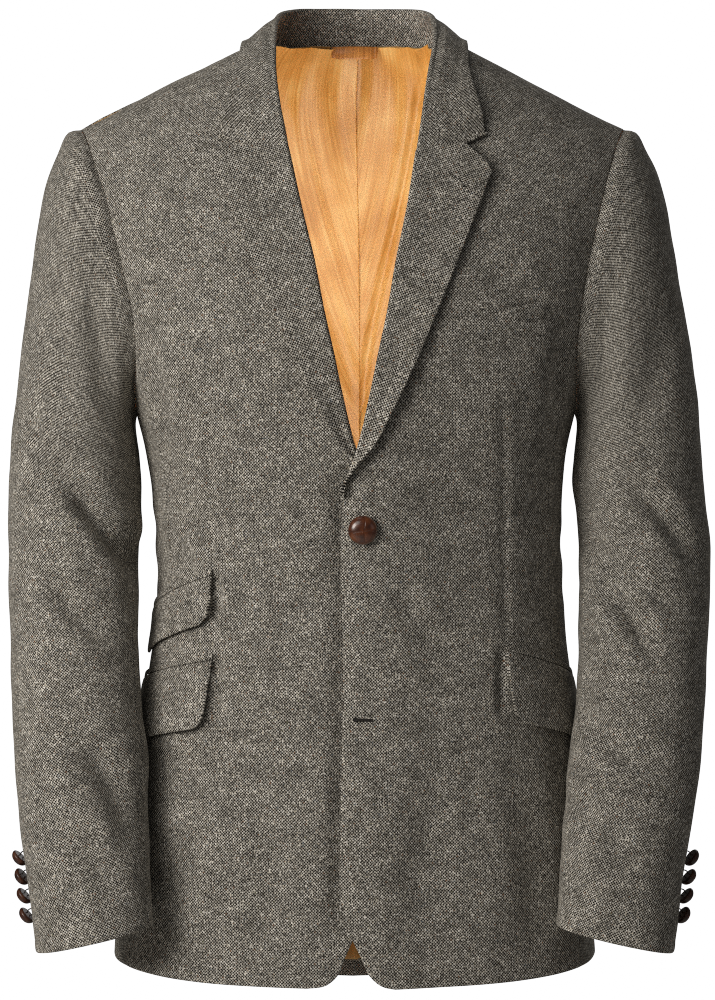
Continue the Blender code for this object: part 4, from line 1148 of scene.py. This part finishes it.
def build_sleeves(finishes):
    rings = sleeve_rings()
    down = (rings / SLEEVE_RINGS)[:, None]
    forearm_cuff = FOREARM + FOREARM_SEAM_SHIFT
    for name, start, end, start_cuff, end_cuff, across in (
        ("sleeve_top", HINDARM - 1, FOREARM, HINDARM_SEAM_CUFF, forearm_cuff, TOP_ACROSS),
        ("sleeve_under", FOREARM, HINDARM, forearm_cuff, 1 + HINDARM_SEAM_CUFF, UNDER_ACROSS),
    ):
        first = start + SLEEVE_SEAM_TURN + (start_cuff - start) * down
        last = end - SLEEVE_SEAM_TURN + (end_cuff - end) * down
        turns = first + (last - first) * across
        points = sleeve_point(turns, rings[:, None] + 0 * turns)
        body_out = outward(armhole(turns[0] % 1))
        points = np.concatenate([[points[0] - body_out * depth for depth in SEAM_TURNED_IN], points])
        turns = np.concatenate([turns[:1]] * len(SEAM_TURNED_IN) + [turns])
        normals = normals_of(points)
        from_top = grid_distances(points)[1]
        from_top = from_top - from_top[len(SEAM_TURNED_IN)]
        to_cuff = from_top[-1:] - from_top
        seated = -0.0005 * hump(from_top, 0.0, 0.003)
        hem = 0.0005 * hump(to_cuff, 0.004, 0.004) - 0.0004 * hump(to_cuff, 0.030, 0.003)
        front_face = ease(-normals[..., 1], -0.25, 0.25)
        x, z = points[..., 0], points[..., 2]
        for (side, label), rows in zip(SIDES, (SLEEVE_CREASES_LEFT, SLEEVE_CREASES_RIGHT)):
            back_folds = creases(x + 0.005 * (side < 0), z + 0.008 * side, SLEEVE_CREASES_BACK)
            folds = 3.0 * creases(x, z, rows) * front_face
            folds += back_folds * (1 - front_face)
            folds *= ease(from_top, 0.01, 0.05) * ease(to_cuff, 0.0, 0.02)
            slow = unevenness(turns * 0.42, z, 0.0024, 51 + side) * ease(from_top, 0.0, 0.04)
            height = folds + sleeve_head(turns, from_top) + seated + hem + slow
            weave = grid_weave(points, 0.08) + (0.4, 0.17 * side)
            piece = cloth(f"{name}_shell_{label}", points, finishes, height, TWEED,
                          (SEAM_ROUND, SEAM_ROUND, SEAM_ROUND, CUFF_ROUND), weave,
                          (0.0, 0.0, 0.0, CUFF_HEM_WIDTH), side, normals)
            sewn([f"{name}_{label}"])


# ---- lapels and collar --------------------------------------------------------------------------

ROLL_DEPTH = 0.0036
ROLL_REACH = 0.0024
ROLL_MIDDLE = -0.0002
FACING_REACH = 0.012
LAPEL_THICKNESS = 0.0024
ROLL_THICKNESS = 0.0015
LAPEL_LIFT = 0.0022
LAPEL_ROUNDS = (0.0008, 0.0017, 0.0008, 0.0009)
LAPEL_BELLY = 0.0016
LAPEL_FALL = 0.40
SEEN_ROLL = (
    (-0.0135, -0.3330), (-0.0102, -0.3225), (-0.0012, -0.2990), *ROLL_LINE[:-1], (0.0500, -0.0580),
)
SEEN_EDGE = ((-0.0116, -0.3265), (-0.0040, -0.3120), *LAPEL_EDGE[1:])
SEEN_LAPEL_TOP = ((0.0500, -0.0580), (0.0885, -0.0524), (0.1055, -0.0690), (0.1090, -0.0768))


def resampled(grid, fractions):
    """Rows of a grid read at fractions of their own, from even ones."""
    even = np.linspace(0, 1, grid.shape[1])
    made = [[np.interp(f, even, column) for column in row.T] for row, f in zip(grid, fractions)]
    return np.array(made).transpose(0, 2, 1)


def lapel_grid():
    """Places and heights of a lapel: rows from the break up, columns from the facing inside, round the roll
    and out to the free edge. The last result is the distance of each column from the roll."""
    up = graded(104, (), LONG_EDGE)
    even = spaced(0, 1, 160)
    roll, edge = along(SEEN_ROLL, up), along(SEEN_EDGE, up)
    face = patch(blend(roll[0], edge[0], even), bent(SEEN_LAPEL_TOP, even), roll, edge, even, up)
    width = np.array([lengths(row)[-1] for row in face])[:, None]
    turn = np.linspace(0, pi / 2, 7)
    near = ROLL_REACH * (1 - np.cos(turn))
    leaf_from = np.minimum(near[-1] / width, 0.45)
    leaf = leaf_from + (1 - leaf_from) * graded(46, (), SIDE_EDGE)[None, 1:]
    top = np.concatenate([np.minimum(near / width, leaf_from * near / near[-1]), leaf], 1)
    inside_far = np.linspace(FACING_REACH, ROLL_REACH, 8)[:-1]
    inside_far = np.broadcast_to(inside_far, (len(up), 7))
    inside = np.concatenate([inside_far / width, (near[::-1] / width)[:, :-1]], 1)
    inside = 0.9 * (1 - np.exp(-inside / 0.9))
    fractions = np.concatenate([inside, top], 1)
    rise_in = ROLL_MIDDLE - ROLL_DEPTH * np.concatenate([np.ones(7), np.sin(turn[::-1][:-1])])
    rise_out = ROLL_MIDDLE + ROLL_DEPTH * np.concatenate([np.sin(turn), np.ones(leaf.shape[1])])
    height = np.broadcast_to(np.concatenate([rise_in, rise_out]), fractions.shape).copy()
    flat = resampled(face, fractions)
    distance = fractions * width
    distance[:, : inside.shape[1]] *= -1
    lift_up = ease(up, 0.0, 0.12) * (2.6 - 1.5 * ease(up, 0.25, 0.75))
    lift = LAPEL_LIFT * ease(fractions, 0.35, 1.0) * lift_up[:, None]
    belly = LAPEL_BELLY * hump(fractions, 0.35, 0.35) * hump(up[:, None], 0.30, 0.30)
    is_leaf = np.arange(fractions.shape[1]) >= inside.shape[1]
    return place_at(flat[..., 0], flat[..., 1]), height + (lift + belly) * is_leaf, distance


def build_lapels(finishes):
    places, height, distance = lapel_grid()
    thickness = ROLL_THICKNESS + (LAPEL_THICKNESS - ROLL_THICKNESS) * ease(distance, 0.003, 0.014)
    weave = tilted(distances(places), LAPEL_FALL) + (0.3, 0.0)
    u = distances(places)[..., 0]
    for side, name in SIDES:
        points = on_front(places, height, side > 0)
        extra = unevenness(u, points[..., 2], 0.0012, 71 + side) * ease(distance, 0, 0.03)
        piece = cloth("lapel_shell_" + name, points, finishes, extra, thickness, LAPEL_ROUNDS, weave, None,
                      side)
        sewn(["lapel_" + name])


SEEN_NOTCH = (0.0885, -0.0525)
SEEN_GORGE = (0.0506, -0.0583)
COLLAR_CROWN = 0.0022
COLLAR_LIFT = 0.0014
STAND_DROP = 0.0060
SIDE_DROP = 0.0210  # the stand reaches further down inside the shoulders
GORGE_INSIDE = (0.0640, -0.0560)
GORGE_DEPTH = 0.0045
COLLAR_STATIONS = graded(58, (0.002, 0.005, 0.010, 0.018))
COLLAR_STEPS = graded(34, (), SIDE_EDGE)
COLLAR_ROUNDS = (0.0010, 0.0017, 0.0009, 0.0009)


def collar_half():
    """Outer face of the collar from one front end to centre back: columns from the foot of the stand, over
    the fold and down to the free edge of the fall. The second result is the number of the fold's column."""
    stations, steps = COLLAR_STATIONS, COLLAR_STEPS
    fold, edge = along(FOLD, stations), along(FALL_EDGE, stations)
    front = bent((SEEN_GORGE, SEEN_NOTCH, FALL_EDGE[0][::2]), steps)
    front = raised(place_at(front[:, 0], front[:, 1]), DOUBLED_TWEED + LEAF_CLEARANCE)
    fold[0], edge[0] = front[0], front[-1]
    away = away_from_neck(fold, 0.0)
    ahead = unit(np.gradient(fold, axis=0))
    crown = unit(np.cross(away, ahead))
    grid = patch(front, blend(fold[-1], edge[-1], steps), fold, edge, steps, stations)
    bulge = FALL_BULGE * 4 * steps * (1 - steps) * ease(stations, 0.05, 0.5)[:, None]
    bulge = bulge + COLLAR_LIFT * ease(steps, 0.55, 1.0)[None] * ease(stations, 0.0, 0.08)[:, None]
    grid = grid + away_from_neck(grid, FALL_SLOPE) * bulge[..., None]
    grid = off_form(grid, DOUBLED_TWEED + LEAF_CLEARANCE)
    sunk = (1 - ease(steps, 0.0, 0.25))[None, :, None] * COLLAR_CROWN * crown[:, None]
    fall = grid - sunk
    top_out = fall[:, 0]
    top_in = top_out - away * STAND_INSET
    turn = np.linspace(0, pi, 13)[1:-1]
    middle, radius = (top_out + top_in) / 2, STAND_INSET / 2
    bend = [middle - away * radius * cos(t) + crown * COLLAR_CROWN * sin(t) for t in turn]
    seam = along(NECK_SEAM, np.clip((stations - STAND_START) / (1 - STAND_START), 0, 1))
    seam[:, 2] -= STAND_DROP * ease(stations, 0.15, 0.45) + SIDE_DROP * hump(stations, 0.36, 0.22)
    end_of_facing = raised(place_at(*GORGE_INSIDE), -GORGE_DEPTH)
    keep = ease(stations, 0.0, STAND_START + 0.05)[:, None]
    foot = end_of_facing * (1 - keep) + seam * keep
    stand = [foot * (1 - t) + top_in * t for t in spaced(0, 1, 11)]
    return np.concatenate([np.stack(stand + bend, 1), fall], 1), len(stand) + len(bend)


def build_collar(finishes):
    half, fold_column = collar_half()
    grid = np.concatenate([half, (half[:-1] * (-1, 1, 1))[::-1]])
    first, bottom = grid_distances(grid)
    from_fold = first - first[:, fold_column : fold_column + 1]
    thickness = ROLL_THICKNESS + (LAPEL_THICKNESS - ROLL_THICKNESS) * ease(from_fold, 0.002, 0.012)
    weave = np.stack([bottom[:, -1:] * 0.9 + 0 * bottom, from_fold], -1)
    height = unevenness(bottom, from_fold, 0.0010, 91)
    piece = cloth("collar_shell", grid, finishes, height, thickness, COLLAR_ROUNDS, weave)
    sewn(["collar_leaf", "collar_stand"])


# ---- lining and hanging loop --------------------------------------------------------------------

LINING_OUT = 0.0080
LINING_COLUMNS = 0.22  # how far in from the side seam the lining starts, as a fraction
PLEAT_RISE = 0.0030
PLEAT_LIFTS = (0.0050, -0.0006)  # the last folds of the left and right halves, at the pleat
LINING_ROWS_OFF = 4  # rows of the back panel below the lining's own
LINING_HEM = -0.7275
LINING_TOP = 0.0440
LINING_NECK_TURN = 2.45
MIDDLE_ROW = 40
LINING_EDGE = 0.0009


def lining_places(end_turn, neck_rise):
    """Places of a lining half: rows up, columns from near the side seam to the centre pleat."""
    across = graded(60, (), (0.002, 0.005, 0.010, 0.018, 0.030))
    grid = back_grid()
    even = np.linspace(0, 1, 200)
    rows = [[np.interp(even, ACROSS, column) for column in row.T] for row in grid]
    rows = np.array(rows).transpose(0, 2, 1)
    fractions = LINING_COLUMNS + (1 - LINING_COLUMNS) * across
    grid = resampled(rows, np.broadcast_to(fractions, (len(rows), len(fractions))))
    grid = grid[LINING_ROWS_OFF:]
    stretch = (end_turn - grid[:, :1, 0]) / (grid[:, -1:, 0] - grid[:, :1, 0])
    grid[..., 0] = grid[:, :1, 0] + (grid[..., 0] - grid[:, :1, 0]) * stretch
    neck_columns = ease(grid[:1, :, 0], LINING_NECK_TURN - 0.15, LINING_NECK_TURN)
    top = raised(grid[-1:], -LINING_OUT)
    across_neck = np.abs(top[..., 0])
    rise = 1.5 + neck_rise * ease(across_neck, 0.02, 0.065)
    short = rise * np.clip(LINING_TOP - top[..., 2], 0, 0.020) * neck_columns
    short *= 1 - ease(across_neck, 0.076, 0.088)
    grid[..., 1] += short * ease(grid[..., 1] - grid[-1:, :, 1], -0.05, 0.0)
    grid[..., 1] += (LINING_HEM - CHEST_Z - grid[:1, :, 1]) * (1 - ease(grid[:, :1, 1], -0.47, -0.40))
    return grid


def ripples(u, z, seed):
    """Soft upright folds of the lining, wandering and uneven in height."""
    random = np.random.default_rng(seed)
    total = np.zeros(u.shape)
    for pitch, depth in ((0.043, 0.0011), (0.029, 0.0008), (0.019, 0.0004)):
        wander = 0.006 * np.sin(z * random.uniform(9, 16) + random.uniform(0, 6))
        strength = 0.6 + 0.4 * np.sin(z * random.uniform(7, 14) + random.uniform(0, 6))
        total += depth * strength * np.sin(2 * pi * (u + wander) / pitch + random.uniform(0, 6))
    return total


def build_lining(satin):
    for (side, name), end_turn, rise, lift, neck_rise in zip(
        SIDES, (pi - 0.0004, pi + 0.014), (0.0, PLEAT_RISE), PLEAT_LIFTS, (0.5, 2.1)
    ):
        places = lining_places(end_turn, neck_rise)
        points = raised(places, 0.0)
        u = distances(places)[..., 0]
        z = points[..., 2]
        from_pleat = lengths(points[MIDDLE_ROW])[-1] - grid_distances(points)[0]
        height = -LINING_OUT + ripples(u, z, 7 + side)
        height = height - rise * (1 - ease(from_pleat, 0.002, 0.020)) + lift * hump(from_pleat, 0.0, 0.0024)
        piece = cloth("back_lining_" + name, points, [satin, satin], height, SATIN,
                      (0, LINING_EDGE, LINING_EDGE, 0), distances(places) + (0.1 * side, 0.0), None, side)
        sewn(["lining_" + name])


HANGER_END = (0.004, 0.012, 0.03)
HANGER_EDGE = (0.02, 0.06, 0.12)


def build_hanger(satin):
    """A strip of lining across the back neck, tucked into small pleats where it is sewn down."""
    across = graded(64, HANGER_END, HANGER_END)
    x = (1 - 2 * across) * HANGER_HALF_LENGTH
    down = graded(12, HANGER_EDGE, HANGER_EDGE)
    end = ease(np.abs(x), 0.6 * HANGER_HALF_LENGTH, HANGER_HALF_LENGTH)
    y = HANGER_Y - HANGER_OUT - HANGER_BOW * np.sin(pi * across)
    fold = 0.0007 * np.sin(np.abs(x) / 0.0021 * pi) * end
    rows = []
    for t in down:
        z = HANGER_TOP - HANGER_DROP * (t * (1 - 0.10 * end))
        rows.append(np.stack([x, y - fold * (1 - t) - HANGER_BELLY * sin(pi * t), z], -1))
    grid = np.stack(rows)
    piece = cloth("hanging_loop", grid, [satin, satin], 0.0, SATIN, (0, 0, 0.0006, 0.0006))
    sewn(["hanger_loop"])


# ---- pockets ------------------------------------------------------------------------------------

FLAP_THICKNESS = 0.0024
FLAP_LIFT = 0.0032
FLAP_FRONT_LIFT = 0.0012
FLAP_ROUNDS = (0.0016, 0.0016, 0.0016, 0.0012)
JET_RISE = 0.0019
JET_THICKNESS = 0.0010
JET_ROUND = 0.0009
WELT_END = (0.004, 0.012, 0.026)
WELT_RISE = 0.0028
WELT_THICKNESS = 0.0009


def band(pocket, top, bottom, columns, rows, corner):
    """Places of a strip that follows a pocket's mouth, between two distances below it, with its lower
    corners rounded."""
    turns, length = distance_round(pocket["z"])
    start = np.interp(place_at(pocket["x"], pocket["z"])[0], turns, length)
    u = columns * pocket["length"]
    inside_corner = np.clip(corner - np.minimum(u, pocket["length"] - u), 0, None)
    lost = corner - np.sqrt(corner**2 - inside_corner**2)
    v = rows[:, None]
    down = top + (bottom - top) * v - lost[None, :] * ease(v, 0.3, 1)
    z = pocket["z"] - pocket["slope"] * u[None, :] - down
    return np.stack([np.broadcast_to(np.interp(start + u, length, turns), z.shape), z - CHEST_Z], -1)


FLAP_END = (0.002, 0.006, 0.013, 0.024, 0.040)
FLAP_EDGE = (0.006, 0.018, 0.040, 0.070)
FLAP_ACROSS = graded(60, FLAP_END, FLAP_END)
FLAP_DOWN = graded(26, FLAP_EDGE, FLAP_EDGE)
JET_DOWN = graded(6, (0.08, 0.22), (0.08, 0.22))


def build_pockets(finishes):
    for name, pocket, side, front, kind in (
        ("hip_flap_left", HIP_LEFT, 1, "left", "flap"),
        ("hip_flap_right", HIP_RIGHT, -1, "right", "flap"),
        ("ticket_flap", TICKET, -1, "right", "ticket"),
    ):
        places = band(pocket, 0.0002, pocket["drop"], FLAP_ACROSS, FLAP_DOWN, FLAP_CORNER)[::-1]
        down = FLAP_DOWN[::-1][:, None]
        lift = FLAP_LIFT * ease(down, 0.1, 1.0) * (1 - 0.8 * ease(FLAP_ACROSS, 0.45, 0.95))[None]
        lift = lift + FLAP_FRONT_LIFT * (1 - ease(FLAP_ACROSS, 0.0, 0.25))[None] * down
        height = DOUBLED_TWEED - 0.0006 + 0.0005 * ease(down, 0.0, 0.12) + lift
        height = height + unevenness(FLAP_ACROSS[None] * 0.15, down * 0.05, 0.0014, 13) * down
        piece = cloth(name.replace("flap", "pocket_flap"), raised(places, height), finishes, 0.0,
                      FLAP_THICKNESS, FLAP_ROUNDS, distances(places) + WEAVE_SHIFT, None, side)
        sewn([name])
        places = band(pocket, -JET_HEIGHT, -0.0003, FLAP_ACROSS, JET_DOWN, 0.0)[::-1]
        rib = np.broadcast_to(JET_RISE, places.shape[:2])
        piece = cloth(name.replace("flap", "pocket_jet"), raised(places, rib), finishes, 0.0, JET_THICKNESS,
                      (JET_ROUND,) * 4, tilted(distances(places), 0.23), None, side)
        sewn([name.replace("flap", "jet")])
    across = graded(44, WELT_END, WELT_END)
    up = graded(10, (0.02, 0.05), (0.02, 0.05, 0.09))
    top = blend(np.array(WELT[0]), np.array(WELT[1]), across)
    grid = top[None] - np.stack([0 * up, WELT_HEIGHT * (1 - up)], -1)[:, None]
    places = place_at(grid[..., 0], grid[..., 1])
    height = -0.0003 + WELT_RISE * ease(up, 0.15, 1.0)[:, None] * (0.45 + 0.55 * ease(across, 0.4, 0.9))
    piece = cloth("breast_pocket_welt", raised(places, height), finishes, 0.0, WELT_THICKNESS,
                  (0.0008, 0.0008, 0.0006, 0.0010), distances(places) + WEAVE_SHIFT)
    sewn(["breast_welt"])


# ---- buttons and buttonholes --------------------------------------------------------------------

BUTTON_PROFILE = (  # radius and height as shares of the cap's, from the crown round to the shank
    (0.0, 1.000), (0.25, 0.985), (0.50, 0.915), (0.72, 0.780), (0.88, 0.590), (0.97, 0.400),
    (1.0, 0.270), (0.97, 0.140), (0.86, 0.045), (0.60, 0.010), (0.30, 0.0),
)
BUTTON_RINGS = 42
BUTTON_SIDES = 96
SEAM_WIDTH = 0.040
SEAM_DEPTH = 0.020
STRIP_LIFT = 0.022
SHANK_RADIUS = 0.0024
SHANK_DEPTH = 0.0026
SHANK_STEP = 0.0008
THREAD_RADIUS = 0.00042
LOOP_HALF_WIDTH = 0.0024


def button_cap(name, radius, cap, base, axis, spin, finish, node):
    """A plaited leather button: a dome of four strips, each tucked under the next, over a round core."""
    profile = along(BUTTON_PROFILE, spaced(0, 1, BUTTON_RINGS)) * (radius, cap)
    angle = np.arange(BUTTON_SIDES) * 2 * pi / BUTTON_SIDES
    r, h = profile[:, :1], profile[:, 1:]
    x, y = r * np.cos(angle), r * np.sin(angle)
    p, q = x / radius, y / radius
    seam_p = p - 0.10 - 0.10 * q * q
    seam_q = q + 0.04 - 0.10 * p
    crown = ease(h + 0 * x, 0.25 * cap, 0.6 * cap)
    seams = np.maximum(hump(seam_p, 0.0, SEAM_WIDTH), hump(seam_q, 0.0, SEAM_WIDTH) * 0.7)
    quarter = np.sign(seam_p) * np.sign(seam_q)
    strip = 0.5 * quarter * (np.tanh(np.abs(seam_p) * 9) * np.exp(-np.abs(seam_p) * 3.5))
    relief = (strip * STRIP_LIFT - seams * SEAM_DEPTH) * radius * crown
    points = np.stack([x, y, h + relief], -1).reshape(-1, 3)
    faces = [(a, d, c, b) for a, b, c, d in between_rings(BUTTON_RINGS + 1, BUTTON_SIDES)]
    faces.append(tuple(range(len(points) - BUTTON_SIDES, len(points)))[::-1])
    turn = Vector(axis).to_track_quat("Z", "Y").to_matrix() @ Matrix.Rotation(spin, 3, "Z")
    points = points @ np.array(turn).T + base
    piece = mesh_piece(name, points, faces, [finish])
    weld(piece)
    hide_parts(node)
    return piece


def weld(piece):
    """Joins the crown's many points into one."""
    work = bmesh.new()
    work.from_mesh(piece.data)
    bmesh.ops.remove_doubles(work, verts=work.verts, dist=1e-7)
    work.to_mesh(piece.data)
    work.free()
    piece.data.shade_smooth()


def build_front_buttons(leather, twist):
    centre = place_at(*FRONT_BUTTON)
    base = leaned(on_front(centre, FRONT_BUTTON_CLEARANCE + FRONT_SHANK, True))
    axis = outward(centre)
    button_cap("front_leather_button", FRONT_BUTTON_RADIUS, FRONT_BUTTON_HEIGHT - FRONT_SHANK, base, axis,
               0.0, leather, "front_button")
    shank_path = [base - axis * SHANK_DEPTH + axis * k * SHANK_STEP for k in range(6)]
    mesh_piece("front_button_shank", *tube(shank_path, SHANK_RADIUS, 12, up=(1, 0, 0)), [twist])
    centre = place_at(*LOWER_BUTTON)
    base = leaned(raised(centre, LOWER_BUTTON_CLEARANCE))
    axis = outward(centre)
    button_cap("lower_leather_button", LOWER_BUTTON_RADIUS, LOWER_BUTTON_HEIGHT, base, axis, 0.4, leather,
               "lower_button")


def build_cuff_buttons(leather, twist):
    for number in range(CUFF_BUTTONS):
        z = CUFF_BUTTON_Z - number * CUFF_BUTTON_PITCH
        ring = np.interp(-z, -SLEEVE["outer_z"], np.arange(SLEEVE_RINGS + 1.0))
        normal = sleeve_normal(CUFF_BUTTON_TURN, ring)
        axis = unit(normal - (0, 0, CUFF_BUTTON_DROOP))
        place = sleeve_point(CUFF_BUTTON_TURN, ring) + normal * CUFF_BUTTON_CLEARANCE
        for side, name in SIDES:
            mirror = np.array((side, 1, 1))
            wobble = 0.10 * sin(number * 2.3 + side)
            lean_axis = unit(axis * mirror + (0, wobble * 0.5, wobble))
            foot = leaned(place * mirror)
            base = foot + axis * mirror * CUFF_SHANK
            label = f"{name}_{number + 1}"
            button_cap("cuff_leather_button_" + label, CUFF_BUTTON_RADIUS, CUFF_BUTTON_CAP, base, lean_axis,
                       0.6 * number + side, leather, "cuff_button_" + label)
            across = unit(np.cross(lean_axis, (0, 1, 0)))
            loop = []
            for t in np.linspace(0, 2 * pi, 22, endpoint=False):
                loop.append(foot + (base - foot) * (0.5 - 0.62 * cos(t)) + across * LOOP_HALF_WIDTH * sin(t))
            points, faces = tube(loop, THREAD_RADIUS, 8, closed=True, up=(0, 1, 0))
            mesh_piece("cuff_button_loop_" + label, points, faces, [twist])


BUTTONHOLES = (  # name, end and eye across and up, height off the form
    ("lower", (0.0106, -0.5092), (-0.0026, -0.5088), 0.0008),
    ("lapel", (0.0722, -0.0782), (0.0868, -0.0896), 0.0055),
)
HOLE_BEAD = 0.00052
HOLE_HALF_WIDTH = 0.00062
EYE_RADIUS = 0.0014
EYE_HOLE = 0.0009
EYE_SIDES = 20
SLIT_LIFT = 0.0001
EYE_LIFT = 0.0002


def build_buttonholes(edges, covers, dark):
    """Keyhole buttonholes: a corded edge round a slit that ends in a small round eye. The eyes, and the slit
    of the lower one, are covered with near-black sheets of painted shade; the lapel's slit is covered with
    tweed.
    """
    for name, end, eye, height in BUTTONHOLES:
        end, eye = np.array(end), np.array(eye)
        ahead = unit(eye - end)
        side_way = np.array((-ahead[1], ahead[0]))
        length = hypot(*(eye - end))
        straight = np.linspace(0, 1, 14)
        upper = [end + ahead * length * t + side_way * HOLE_HALF_WIDTH for t in straight[:-1]]
        round_eye = [
            eye + EYE_RADIUS * (ahead * cos(a) + side_way * sin(a)) for a in np.linspace(2.5, -2.5, 18)
        ]
        lower = [end + ahead * length * t - side_way * HOLE_HALF_WIDTH for t in straight[::-1][1:]]
        outline = np.array(upper + round_eye + lower)
        places = place_at(outline[:, 0], outline[:, 1])
        path = leaned(on_front(places, height, True))
        points, faces = tube(path, HOLE_BEAD, 8, closed=True, up=outward(places).mean(0), flat=0.8)
        mesh_piece(f"{name}_buttonhole_edge", points, faces, [edges[name]], None, points[:, ::2])
        # A sheet over the slit: painted shade on the lower buttonhole, plain tweed on the lapel
        middle = path.mean(0)
        rim = len(path)
        lift = outward(places) * SLIT_LIFT
        cover = np.concatenate([path + lift, path * 0.5 + middle * 0.5 + lift.mean(0)])
        strip = [*between_rings(2, rim), tuple(range(rim, 2 * rim))]
        mesh_piece(f"{name}_buttonhole_slit", cover, strip, [covers[name]], None, cover[:, ::2])
        # A near-black disc of painted shade over the hole of the eye
        around = np.linspace(0, 2 * pi, EYE_SIDES, endpoint=False)
        hole = eye + EYE_HOLE * np.stack([np.cos(around), np.sin(around)], -1)
        places = place_at(hole[:, 0], hole[:, 1])
        rim_points = leaned(on_front(places, height + EYE_LIFT, True))
        points = np.concatenate([rim_points, rim_points.mean(0)[None]])
        fan = [(k, (k + 1) % EYE_SIDES, EYE_SIDES) for k in range(EYE_SIDES)]
        mesh_piece(f"{name}_buttonhole_eye", points, fan, [dark])


# ---- stage --------------------------------------------------------------------------------------

CAMERA = (0.0, -2.9, -0.336)
CAMERA_LENS = 127.3
FLOOR_Z = -1.45
FLOOR_RINGS = (0.4, 0.8, 1.2, 1.6, 2.0, 2.2)
FLOOR_SIDES = 64
FLOOR_LIP = 0.004  # how far its rim turns down
WORLD_LIGHT = 0.078
LIGHTS_MEET = (0.0, 0.0, -0.35)
LIGHTS = (  # name, place, diameter, power, colour
    ("key", (-1.40, -1.40, 0.02), 1.0, 22.2, "FFFAF3"),
    ("front", (-1.4, -2.6, 0.9), 1.7, 14.0, "FFFAF3"),
    ("top", (-0.6, -0.4, 1.9), 1.2, 2.5, "FFFFFF"),
    ("fill", (2.4, -1.8, 0.0), 1.6, 1.5, "F4F6FF"),
    ("back", (0.8, 2.4, 1.0), 1.6, 10.0, "FFFFFF"),
)
HOLLOW_LIGHT = (-0.010, -0.066, -0.150)
HOLLOW_TARGET = (-0.005, 0.10, -0.160)
HOLLOW_POWER = 0.42


def area_light(name, place, target, size, power, code):
    light = bpy.data.lights.new(name, "AREA")
    light.shape = "DISK"
    light.size = size
    light.energy = power
    light.color = colour(code)[:3]
    lamp = linked(name, light)
    lamp.location = place
    lamp.rotation_euler = (Vector(target) - Vector(place)).to_track_quat("-Z", "Y").to_euler()
    return lamp


def build_floor():
    points = [(0, 0, FLOOR_Z)]
    for radius in FLOOR_RINGS:
        z = FLOOR_Z - (FLOOR_LIP if radius == FLOOR_RINGS[-1] else 0.0)
        for s in range(FLOOR_SIDES):
            a = 2 * pi * s / FLOOR_SIDES
            points.append((radius * cos(a), radius * sin(a), z))
    faces = [(0, 1 + s, 1 + (s + 1) % FLOOR_SIDES) for s in range(FLOOR_SIDES)]
    for a, b, c, d in between_rings(len(FLOOR_RINGS), FLOOR_SIDES):
        faces.append((1 + a, 1 + d, 1 + c, 1 + b))
    mesh = bpy.data.meshes.new("floor")
    mesh.from_pydata(points, [], faces)
    mesh.shade_smooth()
    mesh.materials.append(seamless_floor())
    linked("floor", mesh)


def build_world():
    world = bpy.data.worlds.new("studio")
    bpy.context.scene.world = world
    world.use_nodes = True
    tree = world.node_tree
    tree.nodes.clear()
    sight = add(tree, "LightPath")
    seen = add(tree, "Background", {"Color": (1, 1, 1, 1), "Strength": 1.0})
    lit = add(tree, "Background", {"Color": colour("F6F3EE"), "Strength": WORLD_LIGHT})
    both = add(tree, "MixShader", {0: sight, 1: lit, 2: seen})
    out = tree.nodes.new("ShaderNodeOutputWorld")
    tree.links.new(both, out.inputs["Surface"])


def build_stage():
    build_floor()
    build_world()
    for name, place, size, power, code in LIGHTS:
        area_light(name, place, LIGHTS_MEET, size, power, code)
    hollow = area_light("hollow", HOLLOW_LIGHT, HOLLOW_TARGET, 0.13, HOLLOW_POWER, "FFF6EA")
    hollow.data.shape = "RECTANGLE"
    hollow.data.size_y = 0.26
    lit_inside = bpy.data.collections.new("lit_inside")
    for piece in bpy.data.objects:
        if piece.name.startswith(("back_lining", "hanging_loop")):
            lit_inside.objects.link(piece)
    hollow.light_linking.receiver_collection = lit_inside
    hollow.visible_camera = False

    camera = linked("camera", bpy.data.cameras.new("camera"))
    camera.data.lens = CAMERA_LENS
    camera.data.sensor_width = 36.0
    camera.location = CAMERA
    camera.rotation_euler = (radians(90), 0, 0)
    bpy.context.scene.camera = camera
    bpy.context.scene.view_settings.view_transform = "Standard"
    bpy.context.scene.cycles.use_denoising = False
    bpy.context.scene.cycles.filter_width = 1.0


def main():
    tweed = donegal_tweed()
    satin = lining_satin("viscose_satin", "E9BC74", "D9A257", "C48A40")
    loop_satin = lining_satin("loop_satin", "CE8E48", "AE7034", "8A5424")
    leather = button_leather("button_leather", "3E1C0C", "5C2D13", "78421E", 1.0)
    # The cuff buttons are the same leather as the front ones, with darker tones that are painted shade
    shaded_cuff_leather = button_leather("cuff_button_leather_painted_shade", "2A140A", "401F10", "5A321A", 0.2)
    twist = buttonhole_twist("linen_twist", "241C16")
    # Near-black painted shade for the lower buttonhole's slit and for the eyes of both buttonholes
    dark = buttonhole_twist("painted_buttonhole_shade", "14110E")
    build_fronts([tweed, satin])
    build_sides_and_backs([tweed, satin])
    build_sleeves([tweed, satin])
    build_lapels([tweed, tweed])
    build_collar([tweed, tweed])
    build_lining(satin)
    build_hanger(loop_satin)
    build_pockets([tweed, satin])
    build_front_buttons(leather, twist)
    build_cuff_buttons(shaded_cuff_leather, twist)
    build_buttonholes({"lower": twist, "lapel": tweed}, {"lower": dark, "lapel": tweed}, dark)
    build_stage()


main()
